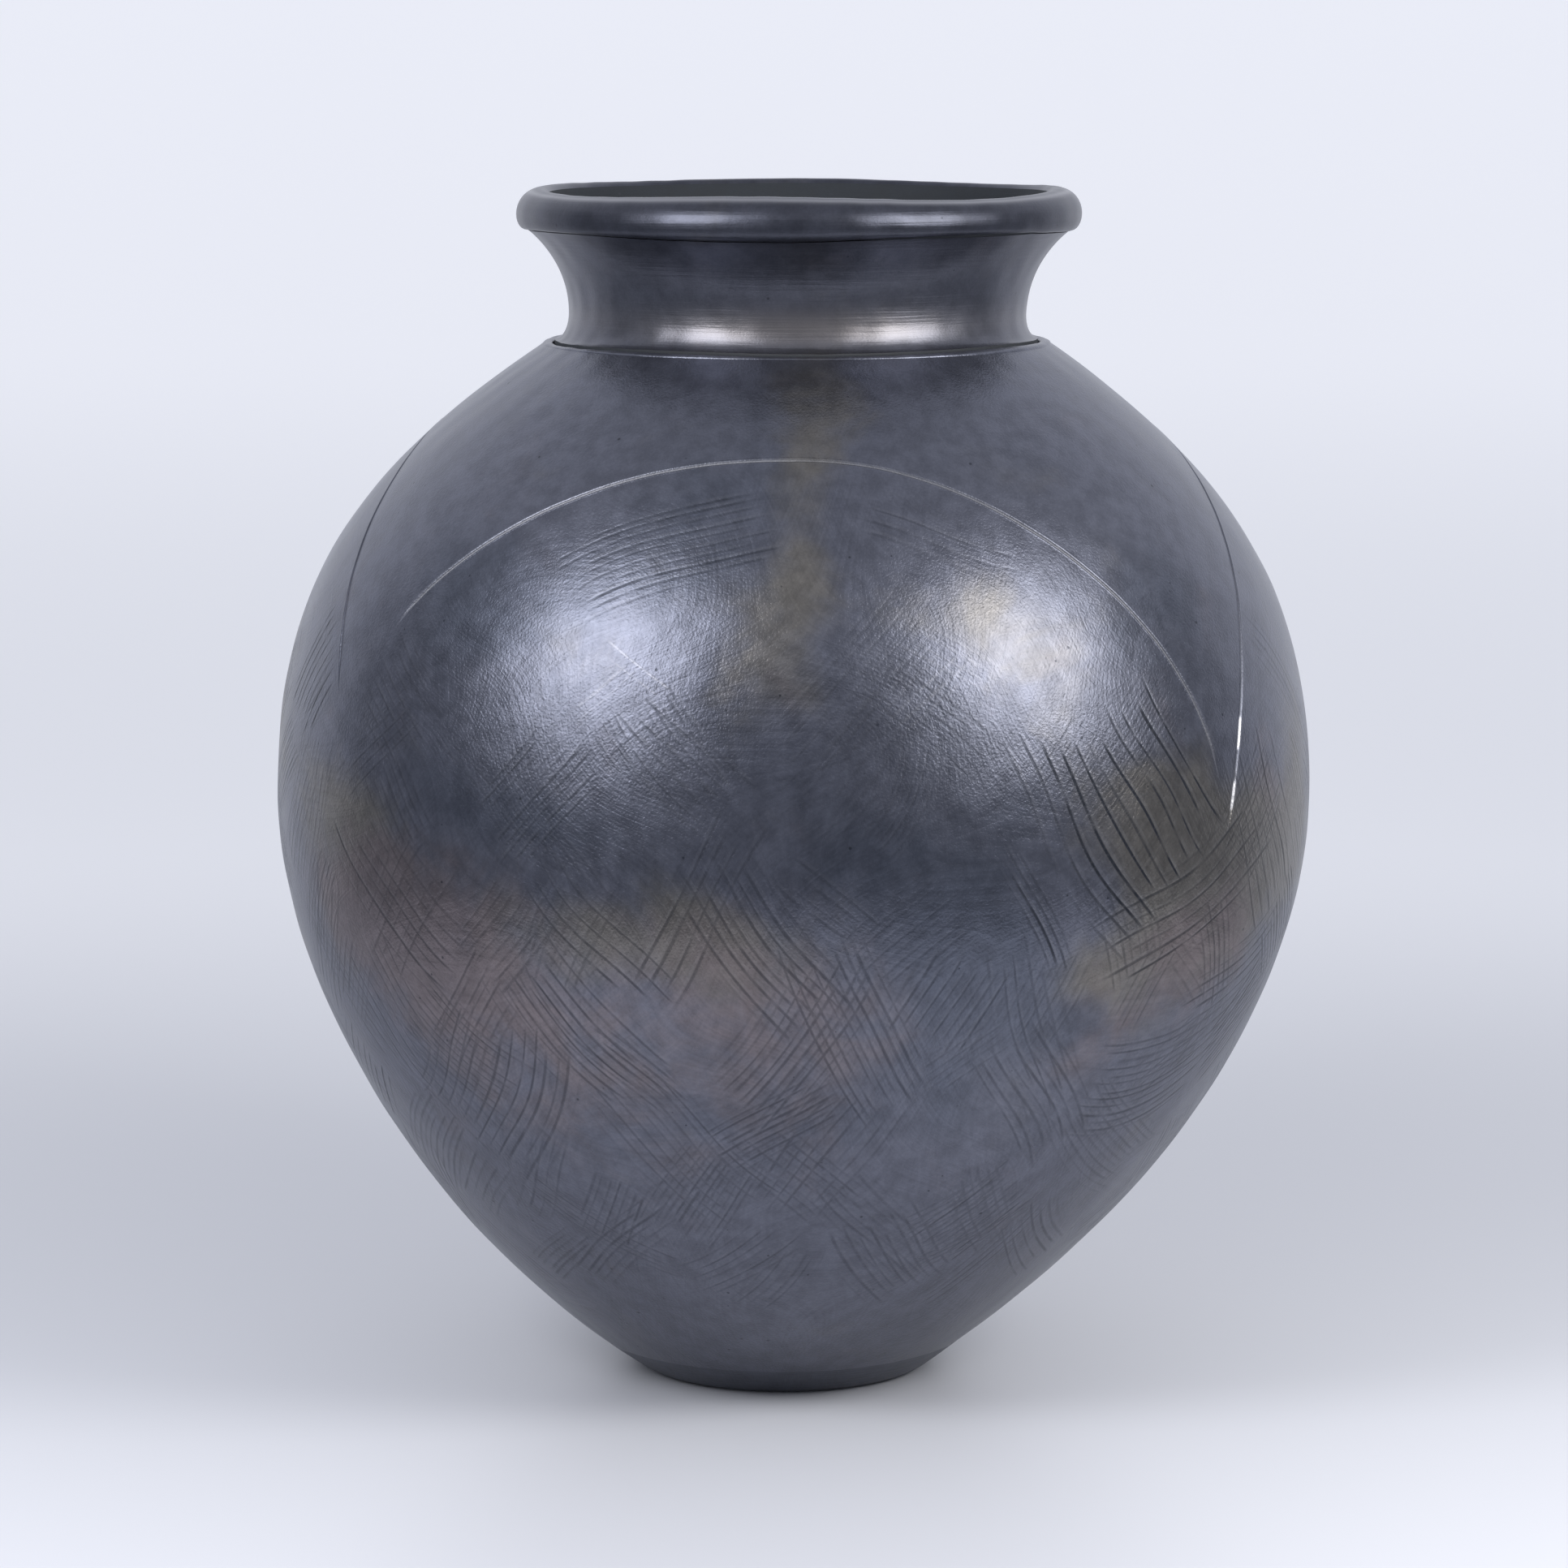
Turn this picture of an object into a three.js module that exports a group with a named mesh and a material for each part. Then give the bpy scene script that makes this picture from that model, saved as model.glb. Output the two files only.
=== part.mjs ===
// A large coil-built pottery vessel with a round belly, a small flat foot, a flared neck and a
// rolled rim. Millimetres, +Z up. The origin is the centre of the foot, on the surface it stands on.
//
// The pot is raised from the ground up: a base dish, six wide coils of clay (courses) lapped one on
// the next, a neck collar that sits in a ledge in the top course, and a coil rolled onto its edge.
// Each is its own solid. The joints between them are the scarfed faces that the potter scores and
// sticks with slip, a thin layer of liquid clay.
import * as THREE from "three";

// Driving dimensions of the body, measured on its outer face.
const footRadius = 42.3;
const bellyRadius = 156;
const bellyHeight = 179.5;
const shoulderRadius = 76.5;
const shoulderRise = 134;

// How the outline leaves each of those points: an angle above or below level, and how far it holds it.
const footSlope = 34;
const footSweep = 67;
const lowerFullness = 74.5;
const upperFullness = 66;
const shoulderSlope = 33.7;
const shoulderSweep = 59.5;

// The wall, and the slip that fills each joint.
const wallThickness = 7.5;
const slipGap = 0.3;

// The base dish: its floor, the ring it stands on, and the centre tapped up so that it stands steady.
const floorThickness = 11;
const floorCornerReach = 11;
const baseWallLength = 17;
const footEdgeEase = 3.5;
const standingRingWidth = 10.5;
const tappedHollowDepth = 1.6;

// The scarf joints between courses: how far each runs along the wall.
const scarfLap = 8;
const courseNames = [
  "lower_course_1",
  "lower_course_2",
  "belly_course_1",
  "belly_course_2",
  "shoulder_course_1",
  "shoulder_course_2",
];

// The ledge that takes the neck, behind a small bead at the shoulder's edge.
const beadWidth = 3.6;
const beadHeight = 1;
const ledgeDepth = 1.5;
const ledgeEdge = 2.5;

// The neck collar, from its foot on the ledge to the crease under the rim.
const collarFootRise = 1.6;
const waistInset = 4.2;
const waistRise = 9.1;
const neckFlare = 12.1;
const neckRise = 25;
const neckFlareAngle = 38;
const neckThickness = 7;
const neckLipThickness = 9.3;
const mouthAngle = 68;

// The rim: a coil laid on the neck's top edge and rolled outwards over it.
const rimHeight = 11.7;
const rimWidestHeight = 4.4;
const rimOverhang = 3.6;
const rimCreaseOverhang = 0.9;
const rimCrestInset = 7;

// Facets round the pot, and steps along each curve of a section.
const facets = 60;
const courseSteps = 4;
const filletSteps = 3;
const neckSteps = 6;
const rimSteps = 4;

const radians = THREE.MathUtils.degToRad;
const point = (radius, height) => new THREE.Vector2(radius, height);

// The point at a distance from a start, in a direction given in degrees above level.
function along(start, angle, distance) {
  const turn = radians(angle);
  return point(start.x + distance * Math.cos(turn), start.y + distance * Math.sin(turn));
}

// The outer face of the body as one line, from the foot's corner to the shoulder's edge.
const footCorner = point(footRadius, 0);
const belly = point(bellyRadius, bellyHeight);
const shoulder = point(shoulderRadius, bellyHeight + shoulderRise);
const wallLine = new THREE.CurvePath();
wallLine.add(
  new THREE.CubicBezierCurve(
    footCorner,
    along(footCorner, footSlope, footSweep),
    point(belly.x, belly.y - lowerFullness),
    belly,
  ),
);
wallLine.add(
  new THREE.CubicBezierCurve(
    belly,
    point(belly.x, belly.y + upperFullness),
    along(shoulder, -shoulderSlope, shoulderSweep),
    shoulder,
  ),
);
const wallLength = wallLine.getLength();
const bellyDistance = wallLine.getCurveLengths()[0];

// A point of the wall: a distance up its outer face from the foot's corner, and a depth into the clay.
function wallPoint(distance, depth = 0) {
  const share = distance / wallLength;
  const outer = wallLine.getPoint(share);
  const uphill = wallLine.getTangent(share);
  return point(outer.x - depth * uphill.y, outer.y + depth * uphill.x);
}

// Points of the wall from one distance to another, both ends included.
function wallRun(from, to, depth) {
  return Array.from({ length: courseSteps + 1 }, (_, i) =>
    wallPoint(from + ((to - from) * i) / courseSteps, depth),
  );
}

// A scarf joint. Below the belly the next coil is laid on the outside, to widen the pot, and above it
// on the inside, to close it, so the joint's face slopes one way and then the other.
function scarfJoint(distance) {
  const lap = distance < bellyDistance ? scarfLap : -scarfLap;
  const half = ((slipGap / 2) * Math.hypot(wallThickness, scarfLap)) / wallThickness;
  return {
    outerBelow: distance - half,
    outerAbove: distance + half,
    innerBelow: distance + lap - half,
    innerAbove: distance + lap + half,
  };
}

const courseLength = (wallLength - baseWallLength) / courseNames.length;
const jointAt = (index) => scarfJoint(baseWallLength + index * courseLength);

const burnished = { color: 0x3d3f49, roughness: 0.42, metalness: 0.35 };
const bodyClay = () => new THREE.MeshStandardMaterial(burnished);
const rimClay = () => new THREE.MeshStandardMaterial({ ...burnished, roughness: 0.3 });
const insideClay = () => new THREE.MeshStandardMaterial({ color: 0x33343a, roughness: 0.7 });

const pot = new THREE.Group();

// Turns a closed section round the pot's axis. A section that touches the axis closes there.
function turned(name, section, material) {
  const closed = section[0].x === 0 ? section : [...section, section[0]];
  const geometry = new THREE.LatheGeometry(closed, facets);
  geometry.rotateX(Math.PI / 2);
  const mesh = new THREE.Mesh(geometry, material);
  mesh.name = name;
  pot.add(mesh);
}

// The base dish: a disc of clay whose edge is pinched up into the start of the wall.
function baseDish() {
  const joint = jointAt(0);
  const ringInner = footRadius - footEdgeEase - standingRingWidth;
  const hollow = new THREE.QuadraticBezierCurve(
    point(0, tappedHollowDepth),
    point(ringInner / 2, tappedHollowDepth),
    point(ringInner, 0),
  );
  const footEdge = new THREE.QuadraticBezierCurve(
    point(footRadius - footEdgeEase, 0),
    footCorner,
    wallPoint(footEdgeEase),
  );
  const innerTop = wallPoint(joint.innerBelow, wallThickness);
  const wallFoot = wallPoint(floorCornerReach, wallThickness);
  const floorEdge = point(footRadius - floorCornerReach, floorThickness);
  const floorCorner = new THREE.QuadraticBezierCurve(
    innerTop,
    point(wallFoot.x, floorThickness),
    floorEdge,
  );
  turned(
    "base_dish",
    [
      ...hollow.getPoints(filletSteps),
      ...footEdge.getPoints(filletSteps),
      wallPoint(joint.outerBelow),
      ...floorCorner.getPoints(filletSteps + 1),
      point(0, floorThickness),
    ],
    insideClay(),
  );
}

// A course between two scarf joints.
function wallCourse(name, index) {
  const below = jointAt(index);
  const above = jointAt(index + 1);
  turned(
    name,
    [
      ...wallRun(below.outerAbove, above.outerBelow),
      ...wallRun(above.innerBelow, below.innerAbove, wallThickness),
    ],
    bodyClay(),
  );
}

// The line of the body's inner face, carried on inwards past the shoulder.
const innerEnd = wallPoint(wallLength, wallThickness);
const domeSlope = Math.tan(radians(shoulderSlope));
const innerDomePoint = (radius) => point(radius, innerEnd.y + (innerEnd.x - radius) * domeSlope);

// The ledge in the top course runs in until the clay under it has thinned to its edge.
const ledgeHeight = shoulder.y - ledgeDepth;
const ledgeOuter = shoulder.x - beadWidth;
const ledgeInner = innerEnd.x - (ledgeHeight - ledgeEdge - innerEnd.y) / domeSlope;

// The top course ends in the bead, the ledge behind it, and the edge of the pot's opening.
function topCourse(name, index) {
  const below = jointAt(index);
  const bead = new THREE.EllipseCurve(
    shoulder.x - beadWidth / 2,
    shoulder.y,
    beadWidth / 2,
    beadHeight,
    0,
    Math.PI,
  );
  turned(
    name,
    [
      ...wallRun(below.outerAbove, wallLength),
      ...bead.getPoints(filletSteps + 1).slice(1),
      point(ledgeOuter, ledgeHeight),
      point(ledgeInner, ledgeHeight),
      innerDomePoint(ledgeInner),
      ...wallRun(wallLength, below.innerAbove, wallThickness),
    ],
    bodyClay(),
  );
}

// Heights and radii that the neck and the rim share.
const waist = point(shoulder.x - beadWidth - waistInset, shoulder.y + waistRise);
const crease = point(waist.x + neckFlare, waist.y + neckRise);
const mouth = point(crease.x - neckLipThickness, crease.y);

// The neck collar: its foot stands on the ledge, with a short spigot down into the opening.
function neckCollar() {
  const footOuter = ledgeOuter - slipGap;
  const footHeight = ledgeHeight + slipGap;
  const footTop = shoulder.y + collarFootRise;
  const spigotOuter = ledgeInner - slipGap;
  const waistInner = point(waist.x - neckThickness, waist.y);
  const fillet = new THREE.EllipseCurve(
    footOuter,
    waist.y,
    footOuter - waist.x,
    waist.y - footTop,
    -Math.PI / 2,
    -Math.PI,
    true,
  );
  const flare = new THREE.CubicBezierCurve(
    waist,
    point(waist.x, waist.y + neckRise / 2),
    along(crease, neckFlareAngle + 180, neckFlare / 2),
    crease,
  );
  const bore = new THREE.CubicBezierCurve(
    mouth,
    along(mouth, mouthAngle + 180, neckRise / 3),
    point(waistInner.x, waist.y + neckRise / 2),
    waistInner,
  );
  const innerCorner = new THREE.QuadraticBezierCurve(
    point(waistInner.x, footTop + neckThickness / 2),
    innerDomePoint(waistInner.x),
    innerDomePoint(spigotOuter),
  );
  turned(
    "neck_collar",
    [
      ...fillet.getPoints(filletSteps),
      ...flare.getPoints(neckSteps).slice(1),
      ...bore.getPoints(neckSteps),
      ...innerCorner.getPoints(filletSteps),
      point(spigotOuter, footHeight),
      point(footOuter, footHeight),
    ],
    rimClay(),
  );
}

// The rim coil: rolled round outside and over the crest, flat where it sits, and running smoothly
// down into the neck's bore.
function rimCoil() {
  const seat = crease.y + slipGap;
  const widest = point(crease.x + rimOverhang, seat + rimWidestHeight);
  const crest = point(widest.x - rimCrestInset, seat + rimHeight);
  const seatOuter = crease.x + rimCreaseOverhang;
  const seatInner = point(mouth.x, seat);
  const underside = new THREE.EllipseCurve(
    seatOuter,
    widest.y,
    widest.x - seatOuter,
    widest.y - seat,
    -Math.PI / 2,
    0,
  );
  const roll = new THREE.EllipseCurve(
    crest.x,
    widest.y,
    widest.x - crest.x,
    crest.y - widest.y,
    0,
    Math.PI / 2,
  );
  const inside = new THREE.CubicBezierCurve(
    crest,
    point((crest.x + seatInner.x) / 2, crest.y),
    along(seatInner, mouthAngle, rimHeight / 2),
    seatInner,
  );
  turned(
    "rim_coil",
    [
      ...underside.getPoints(filletSteps),
      ...roll.getPoints(rimSteps).slice(1),
      ...inside.getPoints(rimSteps).slice(1),
    ],
    rimClay(),
  );
}

baseDish();
courseNames.slice(0, -1).forEach(wallCourse);
topCourse(courseNames.at(-1), courseNames.length - 1);
neckCollar();
rimCoil();

export default pot;
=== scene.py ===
# %% [markdown]
# # A burnished, smoke-fired pot
#
# The object is a large black storage pot, built up by hand from wide coils of clay, scraped thin,
# rubbed all over with a smooth stone until it shone, and smoked black in the fire. This lesson builds
# its looks round a fixed frame, the solids of the pot's pieces at their real size. Each solid is
# hidden, and a finer mesh of the same piece stands exactly where it stood.

# %% Load the frame
import math

import bpy
import numpy as np
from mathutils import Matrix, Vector


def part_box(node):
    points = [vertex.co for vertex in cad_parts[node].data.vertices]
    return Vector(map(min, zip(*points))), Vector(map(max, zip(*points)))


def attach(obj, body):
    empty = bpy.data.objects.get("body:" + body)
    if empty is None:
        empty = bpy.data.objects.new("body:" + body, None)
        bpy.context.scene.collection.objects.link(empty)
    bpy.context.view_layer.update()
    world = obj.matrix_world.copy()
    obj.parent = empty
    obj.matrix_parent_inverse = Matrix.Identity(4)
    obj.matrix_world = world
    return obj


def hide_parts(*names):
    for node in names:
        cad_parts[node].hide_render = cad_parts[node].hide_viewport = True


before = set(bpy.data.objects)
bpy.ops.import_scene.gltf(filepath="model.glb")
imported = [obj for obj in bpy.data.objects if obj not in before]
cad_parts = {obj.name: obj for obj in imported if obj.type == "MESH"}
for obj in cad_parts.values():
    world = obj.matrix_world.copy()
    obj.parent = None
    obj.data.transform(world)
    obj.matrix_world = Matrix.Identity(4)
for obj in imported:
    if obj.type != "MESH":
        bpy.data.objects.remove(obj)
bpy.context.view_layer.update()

# %% [markdown]
# ## The camera
#
# The pot was seen from a little above its rim's height with a long lens, so its outline is nearly
# the true one. A camera's place can be guessed and corrected until outlines agree. Here it was
# worked out from the way the mouth opens into an ellipse: that fixes the tilt, and the foot's own
# ellipse then fixes the distance.

# %% Camera
CAMERA_BACK = 1.7027
CAMERA_HEIGHT = 0.4247
CAMERA_TILT = 8.2
CAMERA_TURN = 0.1
LENS_MM = 129.84
SENSOR_MM = 36
SEES_AS_FAR_AS = 200

camera_data = bpy.data.cameras.new("camera")
camera_data.lens = LENS_MM
camera_data.sensor_width = SENSOR_MM
camera_data.clip_end = SEES_AS_FAR_AS
camera = bpy.data.objects.new("camera", camera_data)
camera.location = (0, -CAMERA_BACK, CAMERA_HEIGHT)
camera.rotation_euler = (math.radians(90 - CAMERA_TILT), 0, math.radians(CAMERA_TURN))
bpy.context.scene.collection.objects.link(camera)
bpy.context.scene.camera = camera
bpy.context.scene.view_settings.view_transform = "Standard"
print("camera", round(math.hypot(CAMERA_BACK, CAMERA_HEIGHT), 3), "m from the foot")

# %% [markdown]
# ## The pot's outline
#
# A pot of this kind has no drawing. Its outline is one slow curve from foot to shoulder, so two
# Bezier curves that meet at the belly describe it with very few sizes. All sizes are in metres and
# are the ones that the frame was made from. A `Line` keeps such a curve as close points with the
# distance along it, so that any point can be asked for by its distance up the wall.

# %% Sizes of the body
MM = 0.001
FOOT_RADIUS = 42.3 * MM
BELLY_RADIUS = 156 * MM
BELLY_HEIGHT = 179.5 * MM
SHOULDER_RADIUS = 76.5 * MM
SHOULDER_HEIGHT = 313.5 * MM
FOOT_SLOPE, FOOT_SWEEP = 34, 67 * MM
LOWER_FULLNESS, UPPER_FULLNESS = 74.5 * MM, 66 * MM
SHOULDER_SLOPE, SHOULDER_SWEEP = 33.7, 59.5 * MM
WALL = 7.5 * MM
CURVE_STEPS, ARC_STEPS, RUN_STEPS = 400, 200, 60


def along(start, angle, distance):
    """The point at a distance from a start, in a direction in degrees above level."""
    turn = math.radians(angle)
    return (start[0] + distance * math.cos(turn), start[1] + distance * math.sin(turn))


def bezier(*points):
    """Points of a Bezier curve with any number of handles."""
    t = np.linspace(0, 1, CURVE_STEPS + 1)[:, None]
    places = [np.array(p, float)[None, :] * np.ones_like(t) for p in points]
    while len(places) > 1:
        places = [a * (1 - t) + b * t for a, b in zip(places, places[1:])]
    return places[0]


def ellipse_arc(centre, radii, start, turn):
    """Points of part of an ellipse, from a start angle through a turn, in degrees."""
    angle = np.radians(start + turn * np.linspace(0, 1, ARC_STEPS + 1))
    return np.stack([centre[0] + radii[0] * np.cos(angle), centre[1] + radii[1] * np.sin(angle)], 1)


class Line:
    """A curve in the pot's section: radius and height, by the distance along it."""

    def __init__(self, *stretches):
        points = [np.array(stretches[0], float)]
        points += [np.array(stretch, float)[1:] for stretch in stretches[1:]]
        self.points = np.concatenate(points)
        steps = np.hypot(*np.diff(self.points, axis=0).T)
        self.distance = np.concatenate([[0], np.cumsum(steps)])
        self.length = self.distance[-1]
        ways = np.gradient(self.points, self.distance, axis=0)
        self.ways = ways / np.hypot(*ways.T)[:, None]

    def at(self, distance):
        """Radius, height and direction at each distance. Past an end the line runs on straight."""
        distance = np.asarray(distance, float)
        inside = np.clip(distance, 0, self.length)
        over = distance - inside
        way = [np.interp(inside, self.distance, self.ways[:, k]) for k in (0, 1)]
        size = np.hypot(*way)
        way = [part / size for part in way]
        spot = [np.interp(inside, self.distance, self.points[:, k]) + over * way[k] for k in (0, 1)]
        return spot[0], spot[1], way[0], way[1]


foot_corner = (FOOT_RADIUS, 0)
belly = (BELLY_RADIUS, BELLY_HEIGHT)
shoulder = (SHOULDER_RADIUS, SHOULDER_HEIGHT)
from_foot = along(foot_corner, FOOT_SLOPE, FOOT_SWEEP)
to_shoulder = along(shoulder, -SHOULDER_SLOPE, SHOULDER_SWEEP)
wall = Line(
    bezier(foot_corner, from_foot, (belly[0], belly[1] - LOWER_FULLNESS), belly),
    bezier(belly, (belly[0], belly[1] + UPPER_FULLNESS), to_shoulder, shoulder),
)
belly_distance = wall.distance[CURVE_STEPS]


def wall_point(distance, depth=0.0):
    """A point of the wall: a distance up its outer face, and a depth into the clay."""
    r, z, way_r, way_z = wall.at(distance)
    return (float(r - depth * way_z), float(z + depth * way_r))


def wall_run(start, end, depth=0.0):
    """Points along the wall at one depth."""
    r, z, way_r, way_z = wall.at(np.linspace(start, end, RUN_STEPS + 1))
    return np.stack([r - depth * way_z, z + depth * way_r], 1)


print(f"wall {wall.length / MM:.1f} mm from foot to shoulder, belly at {belly_distance / MM:.1f}")

# %% [markdown]
# ## Hand-made, not turned
#
# A perfectly round pot would look machine-made. This one leans a few millimetres, and its wall has
# the slow waves that hands and a scraper leave. Both could be sculpted, but a sum of smooth waves
# runs right round the pot without a seam and can be asked for at any point, so that the light on the
# wall can be worked out exactly. The waves come from a seeded generator, the same on every run.

# %% Lean and waves of the wall
UPRIGHT_HEIGHT = 200 * MM
FOOT_LEAN, FOOT_LEAN_POWER = -3.2 * MM, 1.6
RIM_LEAN, RIM_LEAN_POWER, RIM_LEAN_REACH = 1.4 * MM, 2.2, 153 * MM
SLOW_WAVE, HAND_WAVE = 0.16 * MM, 0.011 * MM
FLAT_FOOT = 12 * MM


def smooth(low, high, value):
    """Rises smoothly from 0 at low to 1 at high."""
    t = np.clip((value - low) / (high - low), 0, 1)
    return t * t * (3 - 2 * t)


def lean(height):
    """How far the pot's centre stands to the right of the belly's, at each height."""
    below = np.clip((UPRIGHT_HEIGHT - height) / UPRIGHT_HEIGHT, 0, None)
    above = np.clip((height - UPRIGHT_HEIGHT) / RIM_LEAN_REACH, 0, None)
    return FOOT_LEAN * below**FOOT_LEAN_POWER + RIM_LEAN * above**RIM_LEAN_POWER


def draw_waves(seed, count, size, most_round, lengths):
    """Seeded waves: how many run round the pot, how fast they climb, their phase and their size.
    Lengths are the shortest and the longest climb of one wave."""
    dice = np.random.default_rng(seed)
    round_pot = dice.integers(1, most_round + 1, count)
    climb = 2 * np.pi / dice.uniform(*lengths, count) * dice.choice([-1, 1], count)
    return [(n, k, p, size) for n, k, p in zip(round_pot, climb, dice.uniform(0, 2 * np.pi, count))]


slow_waves = draw_waves(11, 8, SLOW_WAVE, most_round=5, lengths=(0.09, 0.26))
hand_waves = draw_waves(12, 22, HAND_WAVE, most_round=46, lengths=(0.014, 0.05))
WAVES = slow_waves + hand_waves


def unevenness(azimuth, height):
    """How far the wall stands proud of its outline. The foot stays true, so that the pot stands."""
    total = np.zeros(np.broadcast(azimuth, height).shape)
    for n, k, phase, size in WAVES:
        total = total + size * np.sin(n * azimuth + k * height + phase)
    return total * smooth(0, FLAT_FOOT, height)


print("waves:", len(WAVES), "lean from", FOOT_LEAN / MM, "to", RIM_LEAN / MM, "mm")

# %% [markdown]
# ## The incised lobes
#
# Three tall rounded lobes are drawn lightly into the shoulder, each with one sweep of a point on
# either side. A groove like this could be a bump in the material, but then it would vanish from the
# mesh. Here it is cut into the mesh itself. Each half of a lobe is a rounded outline in azimuth and
# height, and the distance to it is known everywhere, so the groove's section follows from it.

# %% Lobes
GROOVE_HALF_WIDTH, GROOVE_DEPTH = 0.5 * MM, 0.42 * MM
CUT_SHARE, CUT_SQUARENESS = 0.75, 2.4
BURR_HEIGHT, BURR_PLACE, BURR_SHARE = 0.07 * MM, 1.55, 0.4
END_FADE, FOOT_FADE, CHIP_FADE = 0.05, (5 * MM, 9 * MM), 3 * MM
CHIP_PALENESS = 2.5
FIELD_EDGE = 12 * MM
FIELD_TOP = (182 * MM, 226 * MM)
LEAST_RADIUS, LEAST_SLOPE = 30 * MM, 2.0
NOWHERE = 1.0


def lobe_half(centre, side, peak, foot, half_width, round_side, round_top, ends, pale, chips=()):
    """One half of a lobe. Angles are in degrees from the front, heights in millimetres. A groove ends
    at a share of the half's width. Pale is how pale its line is drawn: paler is partly pale clay and
    partly painted highlight, and darker is painted shade in the groove. A chip is a stretch between two
    heights where the line is drawn white and wider."""
    return dict(
        centre=centre, side=side, peak=peak * MM, foot=foot * MM, half_width=half_width,
        round_side=round_side, round_top=round_top, ends=ends, pale=pale, chips=chips,
    )


# The ninth number is how pale each groove's line is drawn. Paler is partly painted highlight, a groove
# edge catching the lamps. Darker is painted shade in the groove.
LOBE_HALVES = [
    lobe_half(0, -1, 287.6, 185, 57.4, 2.28, 2.37, 0.905, 0.7),
    lobe_half(0, 1, 287.6, 175, 52.55, 2.19, 1.97, 0.99, 0.55),
    lobe_half(114, -1, 291, 175, 61.1, 3.03, 1.35, 1.03, 0.15, ((201, 212), (184, 194))),
    lobe_half(114, 1, 291, 180, 60, 2.6, 1.6, 0.95, 0.5),
    lobe_half(-114, 1, 291, 175, 59.6, 3.84, 1.2, 0.915, 0.0),
    lobe_half(-114, -1, 291, 178, 62, 2.6, 1.7, 0.96, 0.6),
]


def lobe_distance(half, azimuth, radius, height, climb):
    """Distance to one half of a lobe, below zero inside it, and the share of the way down it."""
    off = (np.degrees(azimuth) - half["centre"] + 180) % 360 - 180
    down = np.clip(off * half["side"] / half["half_width"], 0, 3)
    rise = half["peak"] - half["foot"]
    up = np.clip((height - half["foot"]) / rise, 0, 3)
    value = down ** half["round_side"] + up ** half["round_top"] - 1
    per_metre = np.degrees(1 / np.maximum(radius, LEAST_RADIUS)) / half["half_width"]
    slope_round = half["round_side"] * down ** (half["round_side"] - 1) * per_metre
    slope_up = half["round_top"] * up ** (half["round_top"] - 1) / rise * climb
    distance = value / np.maximum(np.hypot(slope_round, slope_up), LEAST_SLOPE)
    return np.where(off * half["side"] < 0, NOWHERE, distance), down


def incision(azimuth, radius, height, climb):
    """The nearest groove: distance to its middle, how much of its depth is left, and its paleness."""
    nearest = np.full(np.broadcast(azimuth, height).shape, NOWHERE)
    strength, pale = np.zeros_like(nearest), np.zeros_like(nearest)
    for half in LOBE_HALVES:
        distance, down = lobe_distance(half, azimuth, radius, height, climb)
        left = 1 - smooth(half["ends"] - END_FADE, half["ends"], down)
        left = left * smooth(*FOOT_FADE, height - half["foot"])
        closer = (np.abs(distance) < np.abs(nearest)) & (left > 0)
        nearest = np.where(closer, distance, nearest)
        strength = np.where(closer, left, strength)
        pale = np.where(closer, half["pale"], pale)
        for low, high in half["chips"]:
            above, below = height - low * MM, high * MM - height
            chipped = smooth(0, CHIP_FADE, above) * smooth(0, CHIP_FADE, below)
            pale = np.where(closer, np.maximum(pale, CHIP_PALENESS * chipped), pale)
    return nearest, strength, pale


def groove(distance, strength):
    """Depth of the groove and its low burr, by the distance from its middle."""
    across = np.abs(distance) / GROOVE_HALF_WIDTH
    cut = np.exp(-((across / CUT_SHARE) ** CUT_SQUARENESS))
    burr = np.exp(-(((across - BURR_PLACE) / BURR_SHARE) ** 2))
    return (BURR_HEIGHT * burr - GROOVE_DEPTH * cut) * strength


def smooth_ground(azimuth, radius, height, climb):
    """1 on the plain shoulder above and between the lobes, 0 where the burnishing strokes cross."""
    worked = 1 - smooth(*FIELD_TOP, height)
    for half in LOBE_HALVES:
        distance, _ = lobe_distance(half, azimuth, radius, height, climb)
        worked = np.maximum(worked, smooth(0, FIELD_EDGE, -distance) * (height > half["foot"]))
    return 1 - worked


print("lobe halves:", len(LOBE_HALVES))

# %% [markdown]
# ## The burnishing strokes
#
# The pot was rubbed with the edge of a stone, in bundles of strokes that cross and make a net. A
# picture laid over the pot would smear at the sides, and a wave texture is far too even. Instead each
# bundle is laid out like the real one: the arm swings from a place on the wall, in a heading, so its
# strokes are arcs with one centre. The strongest bundles in front are listed one by one, and seeded
# ones fill the rest.

# %% Bundles of strokes
ROUND_HEIGHTS, ROUND_AZIMUTHS = range(58, 226, 20), range(0, 360, 12)
FRONT_EDGE = 62


def bundle(azimuth, height, heading, length, width, spacing, bend=0, depth=1.0):
    """A bundle of strokes: its middle in degrees from the front and millimetres up, its heading in
    degrees above level, its size and spacing in millimetres, and the radius of the arm's swing. A
    positive radius bends to the left of the heading. Depth is the pressure."""
    return dict(
        azimuth=math.radians(azimuth), height=height * MM, heading=math.radians(heading),
        length=length * MM, width=width * MM, spacing=spacing * MM, bend=bend * MM, depth=depth,
    )


# The bundles with a pressure below zero lie in the two highlights. Their bright lines are ridges
# painted paler, as painted highlight.
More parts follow.
